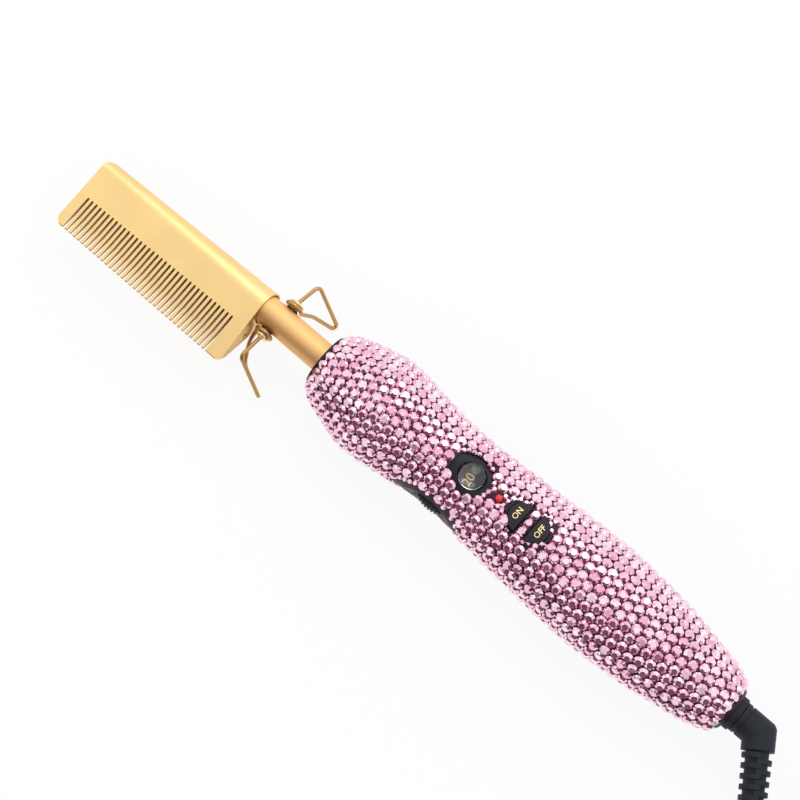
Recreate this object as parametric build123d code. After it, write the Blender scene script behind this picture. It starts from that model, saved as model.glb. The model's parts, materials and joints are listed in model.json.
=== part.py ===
"""Electric hot comb: heated brass comb head, folding wire stands and a handle covered in round stones.

Everything is modelled in millimetres about the shaft's axis: x runs from the comb's tip to the cord,
y is 0 on the shaft with the teeth on the negative side, and z is 0 on the shaft. The parts are moved
as one at export, so that the origin is at the middle of the base of the object without its cord.
"""

from build123d import *
import math
import os

os.makedirs("parts", exist_ok=True)

# ---------------------------------------------------------------- driving dimensions, mm
AXIS_HEIGHT = 18.5  # shaft axis above the table
RUN_FIT = 0.06  # radial clearance of a shaft that turns in a bore
SEAT_FIT = 0.03  # clearance of a piece that is pressed or screwed home
MOVE_GAP = 0.3  # clearance between pieces that move past each other

# comb head
HEAD_LENGTH = 77.9
HEAD_END_SLANT = 11.0  # degrees, the end face leans back towards the tip at the top
SPINE_RADIUS_TIP = 4.3
SPINE_RADIUS_BASE = 6.65
TEETH_REACH = 25.6  # shaft axis to the tips of the teeth
TEETH_EDGE_RADIUS = 0.5
TIP_SPINE_ROUND = 4.2
TIP_TEETH_ROUND = 3.2
BASE_TEETH_ROUND = 2.8
SLOT_COUNT = 36
SLOT_PITCH = 1.91
SLOT_FIRST = 4.3
SLOT_WIDTH = 0.87
SLOT_TOP_TIP = 11.8  # shaft axis to the top of the first slot
SLOT_TOP_BASE = 10.4
HEAD_HOLE_RADIUS = 0.9
HEAD_HOLE_REACH = 12.0
HEAD_HOLE_DROP = 1.0
HEAD_HOLE_DEPTH = 6.0

# shaft and what it holds
TUBE_RADIUS = 5.55
TUBE_WALL = 0.8
TUBE_SEAT = 62.0  # how far down the head the tube starts
TUBE_END = 134.0
COUNTERBORE_GAP = 0.5
COUNTERBORE_DEPTH = 2.4
HEATER_RADIUS = 2.45
HEATER_START = 12.0
HEATER_END = 68.0
BUSH_LENGTH = 5.0
SENSOR_RADIUS = 0.9
SENSOR_LENGTH = 3.4
SENSOR_RISE = 3.3
LEAD_RADIUS = 0.8
LEAD_SPACING = 2.6
SENSOR_LEAD_RADIUS = 0.4
SENSOR_LEAD_SPACING = 1.2

# stand studs and their stacks, measured out from the shaft axis
STUD_X = 83.6
STUD_STAGGER = 0.9  # the spine-side stud is this much behind the middle and the other as much before
STUD_RADIUS = 1.2
STUD_ROOT = 3.45
STUD_END = 9.3
STUD_BORE_DEPTH = 2.4
ANCHOR_WALL = 1.35
ANCHOR_LENGTH = 9.6
LOCK_WASHER_RADIUS = 2.35
LOCK_WASHER_THICKNESS = 0.5
NUT_ACROSS_FLATS = 3.8
NUT_HEIGHT = 1.9
OUTER_WASHER_RADIUS = 2.9
OUTER_WASHER_THICKNESS = 0.8

# stand wires
WIRE_RADIUS = 0.725
EYE_RADIUS = 3.07
LEG_CORNER = 18.75  # shaft axis to the wire's outer corner
CORNER_BEND = 2.0
FOOT_BEND = 1.2
TAIL_BEND = 9.0

# handle
HANDLE_START = 104.9
HANDLE_END = 290.0
BULGE_HALF_WIDTH = 20.0
FRONT_BULGE_X = 131.0
REAR_BULGE_X = 225.0
TOP_SHARE = 0.88  # height above the axis for each unit of half width
STONE_LAYER = 1.2
SHELL_WALL = 1.8
STONES_START = 106.3
STONES_END = 289.2
NOSE_WALL = 3.0
TAIL_WALL = 3.4
# half widths over the stones along the handle, between the two bulges and on to the ends
FRONT_CURVE = ((104.9, 10.4), (108.0, 13.7), (112.0, 15.7), (117.0, 17.2), (123.0, 18.9))
WAIST_CURVE = (
    (139.0, 19.4),
    (148.0, 18.1),
    (158.0, 17.2),
    (169.0, 17.0),
    (182.0, 17.5),
    (196.0, 18.4),
    (210.0, 19.3),
)
REAR_CURVE = (
    (240.0, 19.6),
    (253.0, 18.6),
    (265.0, 16.9),
    (276.0, 14.9),
    (284.0, 12.9),
    (288.0, 10.9),
    (290.0, 9.0),
)

# nose of the handle
NOSE_RING_RADIUS = 9.8
NOSE_FLANGE = 1.2
NOSE_SPIGOT_RADIUS = 7.9
NOSE_SPIGOT_LENGTH = 8.0
LOCK_NUT_ACROSS_FLATS = 15.0
LOCK_NUT_HEIGHT = 4.0

# screws that join the shells
SCREW_RADIUS = 1.45
SCREW_HEAD_RADIUS = 2.6
SCREW_HEAD_HEIGHT = 1.8
SCREW_SEAT = -9.6
SCREW_TIP = 6.0
BOSS_RADIUS = 3.4
FRONT_SCREWS_X = 126.0
FRONT_SCREWS_Y = 12.0
REAR_SCREWS_X = 251.5
REAR_SCREWS_Y = 9.0

# window, lens and dial
WINDOW_X = 171.1
WINDOW_Y = 0.2
WINDOW_LENGTH = 15.6
WINDOW_WIDTH = 13.5
WINDOW_CORNER = 5.6
BEZEL_DROP = 0.5  # the bezel's face lies this far under the shell's own surface
BEZEL_BASE = 8.8
BEZEL_FLANGE = 1.0
BEZEL_FLANGE_HEIGHT = 0.8
LENS_X = 171.6
LENS_Y = 0.0
LENS_RADIUS = 4.65
LENS_LEDGE = 0.6
LENS_BASE = 12.0
LENS_EDGE_HEIGHT = 1.5
LENS_DOME = 1.0
BEZEL_CONE_RADIUS = 6.3

# temperature wheel and its potentiometer
WHEEL_X = 166.0
WHEEL_Y = -2.9
RIM_RADIUS = 13.4
RIM_HALF_HEIGHT = 1.6
RIM_RIBS = 60
RIB_DEPTH = 0.45
DIAL_RADIUS = 7.5
DIAL_FACE = 7.5
POT_SHAFT_RADIUS = 2.0
POT_SIDE = 11.0
POT_TOP = -2.2
POT_HEIGHT = 4.8
POT_BOSS_RADIUS = 4.5
SCOOP_LENGTH = 24.6  # length of the finger recess along the flank
SCOOP_DEPTH = 3.0
SCOOP_WALL = 1.6

# buttons and indicator
ON_FLAT_X = 194.3
ON_RADIUS = 5.6
OFF_FLAT_X = 198.8
OFF_RADIUS = 5.75
CAP_PROUD = 0.9  # caps stand this far out of the shell, just under the stones' tops
CAP_BASE = 10.0
CAP_FLANGE = 0.8
CAP_FLANGE_HEIGHT = 0.6
BUTTON_TRAVEL = 0.6
LED_X = 183.5
LED_RADIUS = 1.4
LED_BASE = 10.0
LED_SHOULDER = 14.0
LED_FLANGE = 0.3
LED_LEG_RADIUS = 0.25
LED_LEG_SPACING = 1.6

# circuit board and what is on it
BOARD_START = 181.0
BOARD_END = 246.0
BOARD_HALF_WIDTH = 9.5
BOARD_BASE = 4.4
BOARD_THICKNESS = 1.6
POST_RADIUS = 2.0
POST_PIN_RADIUS = 0.9
POST_FRONT_X = 189.5
POST_REAR_X = 241.0
POST_Y = 7.0
TACT_SIDE = 5.6
TACT_HEIGHT = 3.0
TACT_PLUNGER_RADIUS = 1.6
TRIAC_X = 215.0
TRIAC_SIZE = (10.0, 4.5, 7.0)
CAPACITOR_X = 231.0
CAPACITOR_SIZE = (8.0, 11.0, 6.5)
FUSE_X = 206.0
FUSE_Y = 6.4
FUSE_RADIUS = 1.6
FUSE_LENGTH = 9.0

# cord clamp inside the handle
CLAMP_X = 265.0
CLAMP_LENGTH = 5.0
CLAMP_HALF_WIDTH = 6.0
CLAMP_THICKNESS = 2.0
CLAMP_SCREW_RADIUS = 1.0
CLAMP_SCREW_Y = 4.2
MAINS_LEAD_RADIUS = 0.95
MAINS_LEAD_SPACING = 2.6

# swivelling cord exit
COLLAR_RADIUS = 6.5
COLLAR_LENGTH = 2.6
COLLAR_SPIGOT_RADIUS = 5.3
NECK_RADIUS = 3.9
NECK_BORE_RADIUS = 2.8
HUB_RADIUS = 5.8
HUB_GROOVE_X = 294.6
HUB_GROOVE_WIDTH = 0.8
HUB_GROOVE_DEPTH = 0.45
CLIP_RADIUS = 5.2
CLIP_THICKNESS = 1.0
ELBOW_X = 302.0
ELBOW_TURN = 57.5  # degrees, towards the teeth side
ELBOW_CORNER_REACH = 6.1  # of the rounded outer corner, from where the axes cross
BOOT_LENGTH = 42.0  # from the elbow's corner
BOOT_SMOOTH = 6.0
BOOT_CORE_START = 4.1
BOOT_CORE_END = 3.4
RIB_RADIUS_START = 5.3
RIB_RADIUS_END = 4.5
RIB_THICKNESS = 1.7
RIB_PITCH = 3.6
RIB_FIRST = 7.7
RIB_STAGGER = 1.9
RIB_OVERLAP = 1.0  # each half rib passes the middle by this much

# cord, coil and plug
CORD_DIAMETER = 5.6
TIE_THICKNESS = 0.6
TIE_ARC = 9.0  # degrees of the coil
TIE_ANGLE = 60.0
COIL_CENTRE = (376.0, -26.6)
COIL_RADIUS = 32.5  # at the middle of its turns
COIL_PITCH = 5.8
COIL_COLUMNS = 4
COIL_LAYERS = 2
TAIL_LIFT_ANGLE = 150.0  # where the tail leaves the coil's last turn
TAIL_RUN = 8.45  # between two points of its route
TAIL_TURN = 15.0  # degrees at each point
TAIL_RISE = (0.1, 0.19, 0.3, 0.42, 0.55, 0.68, 0.8, 0.9, 0.97, 1.0)  # share of the way up to the plug
PLUG_RELIEF = 12.0
PLUG_BODY = 33.0
PLUG_WIDTH = 35.3
PLUG_THICKNESS = 13.7
PLUG_CORNER = 5.5
PIN_RADIUS = 2.0
PIN_STEM_RADIUS = 1.3
PIN_LENGTH = 19.0
PIN_SEAT = 8.0
PIN_MOUTH = 0.5  # depth of the wider mouth round each pin
PIN_SPACING = 18.6

# ---------------------------------------------------------------- worked out from the above
BOTTOM_SHARE = AXIS_HEIGHT / BULGE_HALF_WIDTH
TUBE_BORE = TUBE_RADIUS - TUBE_WALL
SHELL_START = HANDLE_START + NOSE_FLANGE
BOARD_TOP = BOARD_BASE + BOARD_THICKNESS
WASHER_BASE = TUBE_RADIUS + 2 * SEAT_FIT
NUT_BASE = WASHER_BASE + LOCK_WASHER_THICKNESS
NUT_END = NUT_BASE + NUT_HEIGHT
EYE_REACH = (NUT_BASE + NUT_END) / 2
BELOW = -AXIS_HEIGHT
COLLAR_END = HANDLE_END + COLLAR_LENGTH
HUB_START = COLLAR_END + MOVE_GAP
BOOT_ALONG = Vector(math.cos(math.radians(ELBOW_TURN)), -math.sin(math.radians(ELBOW_TURN)), 0)
ELBOW = Vector(ELBOW_X, 0, 0)
CORD_RADIUS = CORD_DIAMETER / 2
COIL_LOW = BELOW + TIE_THICKNESS + CORD_RADIUS
COIL_HIGH = COIL_LOW + COIL_PITCH * (COIL_LAYERS - 1)
COIL_OUTER_TURN = COIL_RADIUS + COIL_PITCH * (COIL_COLUMNS - 1) / 2
PLUG_Z = COIL_HIGH + CORD_RADIUS + MOVE_GAP + PLUG_THICKNESS / 2  # it lies on the coil
STUDS = {1: STUD_X + STUD_STAGGER, -1: STUD_X - STUD_STAGGER}
SCREWS = [
    (x, side * y)
    for x, y in ((FRONT_SCREWS_X, FRONT_SCREWS_Y), (REAR_SCREWS_X, REAR_SCREWS_Y))
    for side in (1, -1)
]
TACT_PLACES = (ON_FLAT_X - ON_RADIUS / 2, OFF_FLAT_X + OFF_RADIUS / 2)
TACT_PLUNGER_TOP = CAP_BASE - BUTTON_TRAVEL - MOVE_GAP / 2

# the object without its cord runs from the tip to the collar and from the teeth to the bulges
MIDDLE_X = COLLAR_END / 2
MIDDLE_Y = (BULGE_HALF_WIDTH - TEETH_REACH) / 2
PLACE = Location((-MIDDLE_X, -MIDDLE_Y, AXIS_HEIGHT))

# the cord's route from the boot down to the coil
LEAD_ROUTE = (
    tuple(ELBOW + BOOT_ALONG * BOOT_LENGTH),
    (332.0, -47.0, -0.6),
    (343.0, -58.5, -6.8),
    (356.5, -65.6, -13.0),
    (368.0, -67.6, -15.1),
    (378.0, -67.8, -15.1),
)


def tail_route():
    """The tail's route from the coil's last turn, curving in over the coil and up to the plug."""
    heading = TAIL_LIFT_ANGLE + 90
    lift = Vector(COIL_OUTER_TURN, -TAIL_RUN / 2).rotate(Axis.Z, TAIL_LIFT_ANGLE)
    place = Vector(*COIL_CENTRE) + lift
    points = []
    for share in TAIL_RISE:
        points.append((place.X, place.Y, COIL_HIGH + (PLUG_Z - COIL_HIGH) * share))
        place += Vector(TAIL_RUN, 0).rotate(Axis.Z, heading)
        heading += TAIL_TURN
    return points


TAIL_ROUTE = tail_route()
PLUG_START, PLUG_Y = TAIL_ROUTE[-1][:2]


# ---------------------------------------------------------------- helpers
def across(x, y=0.0, z=0.0):
    """The plane square to the shaft at x, with its own x along y and its own y up."""
    return Plane(origin=(x, y, z), x_dir=(0, 1, 0), z_dir=(1, 0, 0))


def rod(radius, start, end):
    """A round rod from one point to another."""
    run = Vector(end) - Vector(start)
    return extrude(Plane(origin=start, z_dir=run) * Circle(radius), run.length)


def ring(outer, inner, start, end):
    """A ring about the shaft's axis."""
    return rod(outer, (start, 0, 0), (end, 0, 0)) - rod(inner, (start - 1, 0, 0), (end + 1, 0, 0))


def block(x, y, z):
    """A box from three (low, high) pairs."""
    size = [high - low for low, high in (x, y, z)]
    middle = [(high + low) / 2 for low, high in (x, y, z)]
    return Pos(*middle) * Box(*size)


def slab(start, end):
    """Everything about the handle between two x values."""
    return block((start, end), (-40, 40), (-40, 40))


def post(x, y, radius, low, high):
    """An upright round post."""
    return rod(radius, (x, y, low), (x, y, high))


def bent_rod(radius, points, bends):
    """A round rod along straight runs that are joined by arcs."""
    path = FilletPolyline(*points, radius=bends)
    start = Plane(origin=path @ 0, z_dir=path % 0)
    return sweep(start * Circle(radius), path=path)


def widest_bends(points):
    """The radius at each inner point of a cord's route that uses 0.45 of the shorter run beside it."""
    radii = []
    for before, here, after in zip(points, points[1:], points[2:]):
        run_in = Vector(here) - Vector(before)
        run_out = Vector(after) - Vector(here)
        turn = math.radians(run_in.get_angle(run_out))
        radii.append(0.45 * min(run_in.length, run_out.length) / math.tan(turn / 2))
    return radii


# ---------------------------------------------------------------- comb head
def spine_radius(x):
    return SPINE_RADIUS_TIP + (SPINE_RADIUS_BASE - SPINE_RADIUS_TIP) * x / HEAD_LENGTH


def head_section(x):
    """The round spine with the teeth's wedge drawn tangent from it."""
    edge = Pos(TEETH_EDGE_RADIUS - TEETH_REACH, 0) * Circle(TEETH_EDGE_RADIUS)
    return across(x) * make_hull((Circle(spine_radius(x)) + edge).edges())


def head_outline():
    """Side view of the comb: rounded at both corners of its tip."""
    far = HEAD_LENGTH + SPINE_RADIUS_BASE
    corners = [
        (0, -TEETH_REACH),
        (0, SPINE_RADIUS_TIP),
        (far, spine_radius(far)),
        (far, -TEETH_REACH),
    ]
    face = make_face(Polyline(*corners, close=True))
    tip = face.vertices().sort_by(Axis.X)[:2].sort_by(Axis.Y)
    face = fillet(tip[1], TIP_SPINE_ROUND)
    tip_teeth = face.vertices().sort_by_distance((0, -TEETH_REACH))[0]
    return fillet(tip_teeth, TIP_TEETH_ROUND)


def head_end_cut():
    """What is cut off behind the leaning end face."""
    deep = 3 * TEETH_REACH
    tool = Pos(deep / 2, 0, 0) * Box(deep, 2 * deep, 2 * deep)
    return Pos(HEAD_LENGTH, 0, 0) * Rot(0, -HEAD_END_SLANT, 0) * tool


def base_corner_cut():
    """Rounds the corner between the teeth's edge and the end face."""
    r = BASE_TEETH_ROUND
    square = block((HEAD_LENGTH - r, HEAD_LENGTH + r), (-TEETH_REACH - r, r - TEETH_REACH), (-r, r))
    return square - post(HEAD_LENGTH - r, r - TEETH_REACH, r, -r, r)


def slots():
    cuts = []
    for i in range(SLOT_COUNT):
        x = SLOT_FIRST + i * SLOT_PITCH
        top = -SLOT_TOP_TIP + (SLOT_TOP_TIP - SLOT_TOP_BASE) * i / (SLOT_COUNT - 1)
        half = SLOT_WIDTH / 2
        deep = SPINE_RADIUS_BASE
        cuts.append(
            block((x - half, x + half), (-TEETH_REACH - 1, top - half), (-deep, deep))
            + post(x, top - half, half, -deep, deep)
        )
    return cuts


def comb_head():
    far = HEAD_LENGTH + SPINE_RADIUS_BASE
    body = loft([head_section(0), head_section(far)], ruled=True)
    body &= extrude(head_outline(), SPINE_RADIUS_BASE * 2, both=True)
    body -= head_end_cut()
    body -= base_corner_cut()
    body -= slots()
    body -= rod(TUBE_RADIUS + SEAT_FIT, (TUBE_SEAT, 0, 0), (far, 0, 0))
    body -= rod(TUBE_RADIUS + COUNTERBORE_GAP, (HEAD_LENGTH - COUNTERBORE_DEPTH, 0, 0), (far, 0, 0))
    body -= rod(HEATER_RADIUS + SEAT_FIT, (HEATER_START, 0, 0), (TUBE_SEAT, 0, 0))
    hole = (-HEAD_HOLE_REACH, -HEAD_HOLE_DROP)
    body -= rod(HEAD_HOLE_RADIUS, (HEAD_LENGTH - HEAD_HOLE_DEPTH, *hole), (far, *hole))
    return body


# ---------------------------------------------------------------- shaft
def stud_holes(radius):
    return [rod(radius, (x, 0, 0), (x, side * 2 * TUBE_RADIUS, 0)) for side, x in STUDS.items()]


def shaft_tube():
    return ring(TUBE_RADIUS, TUBE_BORE, TUBE_SEAT + SEAT_FIT, TUBE_END) - stud_holes(
        STUD_RADIUS + SEAT_FIT
    )


def heater_cartridge():
    return rod(HEATER_RADIUS, (HEATER_START + SEAT_FIT, 0, 0), (HEATER_END, 0, 0))


def heater_bush():
    """Ceramic ring that centres the heater's end in the tube."""
    return ring(TUBE_BORE - SEAT_FIT, HEATER_RADIUS + SEAT_FIT, HEATER_END - BUSH_LENGTH, HEATER_END)


def stand_anchor_ring():
    """Threaded ring inside the tube that both studs screw into."""
    half = ANCHOR_LENGTH / 2
    body = ring(TUBE_BORE - SEAT_FIT, TUBE_BORE - ANCHOR_WALL, STUD_X - half, STUD_X + half)
    return body - stud_holes(STUD_RADIUS + SEAT_FIT)


def lead_route(y_tube, z_tube, y_board, low, start):
    """A wire from the heater, down past the potentiometer and up to the board's underside."""
    up = BOARD_START + 3.0
    return [
        (start, y_tube, z_tube),
        (TUBE_END + 3, y_tube, z_tube),
        (TUBE_END + 15, y_board, low),
        (up, y_board, low),
        (up, y_board, BOARD_BASE),
    ]


def heater_leads():
    half = LEAD_SPACING / 2
    beside = WHEEL_Y + POT_SIDE / 2 + 2 * LEAD_RADIUS + half
    low = POT_TOP - 2 * LEAD_RADIUS
    start = HEATER_END + SEAT_FIT
    return [bent_rod(LEAD_RADIUS, lead_route(y, 0, beside + y, low, start), 3.0) for y in (-half, half)]


def temperature_sensor():
    start = HEATER_END + SEAT_FIT
    return rod(SENSOR_RADIUS, (start, 0, SENSOR_RISE), (start + SENSOR_LENGTH, 0, SENSOR_RISE))


def sensor_leads():
    half = SENSOR_LEAD_SPACING / 2
    start = HEATER_END + SEAT_FIT + SENSOR_LENGTH
    beside = WHEEL_Y + POT_SIDE / 2 + 4 * LEAD_RADIUS + LEAD_SPACING + half
    rise = STUD_ROOT - SENSOR_LEAD_RADIUS - MOVE_GAP
    low = -RIM_HALF_HEIGHT - MOVE_GAP - 2 * SENSOR_LEAD_RADIUS
    return [
        bent_rod(SENSOR_LEAD_RADIUS, lead_route(y, rise, beside + y, low, start), 2.0)
        for y in (-half, half)
    ]


# ---------------------------------------------------------------- stands
def stud_ring(side, outer, inner, start, end):
    """A ring about a stud, from start to end away from the shaft axis."""
    x = STUDS[side]
    body = rod(outer, (x, side * start, 0), (x, side * end, 0))
    return body - rod(inner, (x, side * (start - 1), 0), (x, side * (end + 1), 0))


def stud(side):
    x = STUDS[side]
    body = rod(STUD_RADIUS, (x, side * STUD_ROOT, 0), (x, side * STUD_END, 0))
    bore_start = STUD_END - STUD_BORE_DEPTH
    return body - rod(WIRE_RADIUS + RUN_FIT, (x, side * bore_start, 0), (x, side * (STUD_END + 1), 0))


def hex_nut(side):
    x = STUDS[side]
    plane = Plane(origin=(x, side * NUT_BASE, 0), z_dir=(0, side, 0))
    hexagon = RegularPolygon(NUT_ACROSS_FLATS / 2, 6, major_radius=False)
    return extrude(plane * (hexagon - Circle(STUD_RADIUS + SEAT_FIT)), NUT_HEIGHT)


def foot_corner(before, foot, after):
    """Where the wire's two runs would meet, for a rounded foot whose lowest point is on the table."""
    foot = Vector(foot)
    corner = foot
    for _ in range(12):
        a = (Vector(before) - corner).normalized()
        b = (Vector(after) - corner).normalized()
        inward = (a + b).normalized()
        half = math.radians(a.get_angle(b)) / 2
        centre = corner + inward * (FOOT_BEND / math.sin(half))
        steepest = math.sqrt(1 - a.cross(b).normalized().Z ** 2)
        lift = BELOW + WIRE_RADIUS - (centre.Z - FOOT_BEND * steepest)
        apex = centre - inward * FOOT_BEND
        corner += Vector(foot.X - apex.X, foot.Y - apex.Y, lift)
    return corner


def stand_wire(side, lean, foot, tail, eye_side):
    """One wire: a leg that turns in the stud, a rounded foot, and a tail that ends in an eye round
    the nut. The points are measured from the stud: along the shaft, out from the axis, and up."""
    eye = []
    for k in range(-1, 4):
        angle = math.radians(30 + 60 * k)
        far = EYE_RADIUS / math.cos(math.radians(30))
        eye.append((eye_side * far * math.cos(angle), EYE_REACH, far * math.sin(angle)))
    last = math.radians(240)
    eye_end = (eye_side * EYE_RADIUS * math.cos(last), EYE_REACH, EYE_RADIUS * math.sin(last))
    leg = [
        (0, STUD_END - STUD_BORE_DEPTH + MOVE_GAP, 0),
        (0, STUD_END + WIRE_RADIUS, 0),
        (lean, LEG_CORNER, 0),
    ]
    low = (*foot, BELOW + WIRE_RADIUS)
    points = [*leg, tuple(foot_corner(leg[-1], low, tail[0])), *tail, *eye, eye_end]
    bends = [CORNER_BEND, CORNER_BEND, FOOT_BEND] + [TAIL_BEND] * len(tail)
    bends += [EYE_RADIUS * 0.94] * len(eye)
    placed = [(STUDS[side] + x, side * y, z) for x, y, z in points]
    return bent_rod(WIRE_RADIUS, placed, bends)


def stand_wire_spine_side():
    return stand_wire(1, 1.3, (12.4, 15.1), [(5.3, 11.1, -10.0)], 1)


def stand_wire_teeth_side():
    return stand_wire(-1, -0.5, (10.6, 22.2), [(0.4, 18.0, -11.5), (-2.7, 12.0, -5.0)], -1)


# ---------------------------------------------------------------- handle shells and stones
def handle_form(inset):
    """The handle's solid shape, this far inside the tops of the stones."""
    bulges = ((FRONT_BULGE_X, BULGE_HALF_WIDTH), (REAR_BULGE_X, BULGE_HALF_WIDTH))
    curve = (*FRONT_CURVE, bulges[0], *WAIST_CURVE, bulges[1], *REAR_CURVE)
    sections = []
    for x, half_width in curve:
        rise = (TOP_SHARE - BOTTOM_SHARE) / 2 * half_width
        half_height = (TOP_SHARE + BOTTOM_SHARE) / 2 * half_width
        sections.append(across(x, 0, rise) * Ellipse(half_width - inset, half_height - inset))
    return loft(sections)


def half_width_at(x):
    """The handle's half width over the stones, from the nearest two of its sections."""
    curve = (
        *FRONT_CURVE,
        (FRONT_BULGE_X, BULGE_HALF_WIDTH),
        *WAIST_CURVE,
        (REAR_BULGE_X, BULGE_HALF_WIDTH),
        *REAR_CURVE,
    )
    for (x0, w0), (x1, w1) in zip(curve, curve[1:]):
        if x0 <= x <= x1:
            return w0 + (w1 - w0) * (x - x0) / (x1 - x0)
    return curve[-1][1]


def half_disc(flat_x, radius, facing, low, high):
    """Half a disc with its flat side at flat_x and its round side facing -x or +x."""
    disc = post(flat_x, 0, radius, low, high)
    side = sorted((flat_x, flat_x + facing * 2 * radius))
    return disc & block(side, (-2 * radius, 2 * radius), (low, high))


def window_prism(grow, low, high):
    size = (WINDOW_LENGTH + 2 * grow, WINDOW_WIDTH + 2 * grow)
    outline = RectangleRounded(*size, WINDOW_CORNER + grow)
    return extrude(Plane(origin=(WINDOW_X, WINDOW_Y, low)) * outline, high - low)


def top_openings():
    """What is cut through the top for the bezel, the indicator and the two buttons."""
    high = 2 * AXIS_HEIGHT
    low = RIM_HALF_HEIGHT + MOVE_GAP
    return [
        window_prism(SEAT_FIT, low, high),
        post(LED_X, 0, LED_RADIUS + SEAT_FIT, low, high),
        half_disc(ON_FLAT_X + MOVE_GAP, ON_RADIUS + 2 * MOVE_GAP, -1, low, high),
        half_disc(OFF_FLAT_X - MOVE_GAP, OFF_RADIUS + 2 * MOVE_GAP, 1, low, high),
    ]


def scoop(grow):
    """The dished finger recess in the flank beside the wheel."""
    half = SCOOP_LENGTH / 2
    radius = (half**2 + SCOOP_DEPTH**2) / (2 * SCOOP_DEPTH)
    y = -half_width_at(WHEEL_X) + SCOOP_DEPTH - radius
    return Pos(WHEEL_X, y, 0) * Sphere(radius + grow)


def wheel_room():
    """The slot and room that the rim turns in."""
    half = RIM_HALF_HEIGHT + MOVE_GAP
    return post(WHEEL_X, WHEEL_Y, RIM_RADIUS + MOVE_GAP, -half, half)


def shell_solid(outer):
    """Both shells before they are parted: the outer form, hollowed, with its two end walls."""
    cavity = handle_form(STONE_LAYER + SHELL_WALL) & slab(SHELL_START + NOSE_WALL, HANDLE_END - TAIL_WALL)
    body = (outer - scoop(0)) - (cavity - scoop(SCOOP_WALL))
    body -= rod(NOSE_SPIGOT_RADIUS + SEAT_FIT, (HANDLE_START, 0, 0), (SHELL_START + 2 * NOSE_WALL, 0, 0))
    body -= rod(
        COLLAR_SPIGOT_RADIUS + SEAT_FIT, (HANDLE_END - 2 * TAIL_WALL, 0, 0), (HANDLE_END + 1, 0, 0)
    )
    return body - wheel_room()


def screw_cuts(low, high):
    return [post(x, y, SCREW_RADIUS + SEAT_FIT, low, high) for x, y in SCREWS]


def head_recesses():
    """The recesses that the screw heads sit in, up to their seats."""
    return [post(x, y, SCREW_HEAD_RADIUS + MOVE_GAP, 2 * BELOW, SCREW_SEAT) for x, y in SCREWS]


def handle_top_shell(shell, outer):
    bosses = Part() + [post(x, y, BOSS_RADIUS, 0, 2 * AXIS_HEIGHT) for x, y in SCREWS]
    body = (shell & block((0, 400), (-40, 40), (0, 40))) + (bosses & outer)
    return body - screw_cuts(-1, SCREW_TIP + MOVE_GAP) - top_openings()


def handle_bottom_shell(shell, outer):
    bosses = Part() + [post(x, y, BOSS_RADIUS, 2 * BELOW, 0) for x, y in SCREWS]
    bosses += post(WHEEL_X, WHEEL_Y, POT_BOSS_RADIUS, 2 * BELOW, POT_TOP - POT_HEIGHT)
    half = CLAMP_LENGTH / 2
    bosses += block(
        (CLAMP_X - half, CLAMP_X + half),
        (-CLAMP_HALF_WIDTH, CLAMP_HALF_WIDTH),
        (2 * BELOW, -MAINS_LEAD_RADIUS - SEAT_FIT),
    )
    for x in (POST_FRONT_X, POST_REAR_X):
        for side in (1, -1):
            bosses += post(x, side * POST_Y, POST_RADIUS, 2 * BELOW, BOARD_BASE)
            bosses += post(x, side * POST_Y, POST_PIN_RADIUS, BOARD_BASE - 1, BOARD_TOP + 1)
    body = (shell & block((0, 400), (-40, 40), (-40, 0))) + (bosses & outer)
    holes = [
        post(CLAMP_X, side * CLAMP_SCREW_Y, CLAMP_SCREW_RADIUS + SEAT_FIT, -8, 0) for side in (1, -1)
    ]
    return body - screw_cuts(SCREW_SEAT - 1, 1) - head_recesses() - holes


def stone_skin(outer):
    """The layer that the stones fill, cut away at the recess, the wheel and the ends."""
    skin = (handle_form(0) & slab(STONES_START, STONES_END)) - outer
    return skin - scoop(0) - wheel_room()


def stones_top(skin):
    return (skin & block((0, 400), (-40, 40), (0, 40))) - top_openings()


def stones_bottom(skin):
    return (skin & block((0, 400), (-40, 40), (-40, 0))) - head_recesses()


def handle_screws():
    parts = []
    for x, y in SCREWS:
        head = post(x, y, SCREW_HEAD_RADIUS, SCREW_SEAT - SCREW_HEAD_HEIGHT, SCREW_SEAT - SEAT_FIT)
        drive = post(x, y, SCREW_RADIUS * 0.7, SCREW_SEAT - SCREW_HEAD_HEIGHT - 1, SCREW_SEAT - 1)
        parts.append(head + post(x, y, SCREW_RADIUS, SCREW_SEAT - SCREW_HEAD_HEIGHT, SCREW_TIP) - drive)
    return parts


def nose_ring():
    """Heat-proof ring between the hot tube and the shells."""
    body = ring(NOSE_RING_RADIUS, TUBE_RADIUS + SEAT_FIT, HANDLE_START, SHELL_START - SEAT_FIT)
    end = SHELL_START + NOSE_SPIGOT_LENGTH
    return body + ring(NOSE_SPIGOT_RADIUS, TUBE_RADIUS + SEAT_FIT, SHELL_START - 2 * SEAT_FIT, end)


def shaft_lock_nut():
    start = SHELL_START + NOSE_SPIGOT_LENGTH + SEAT_FIT
    hexagon = RegularPolygon(LOCK_NUT_ACROSS_FLATS / 2, 6, major_radius=False)
    return extrude(across(start) * (hexagon - Circle(TUBE_RADIUS + SEAT_FIT)), LOCK_NUT_HEIGHT)


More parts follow.
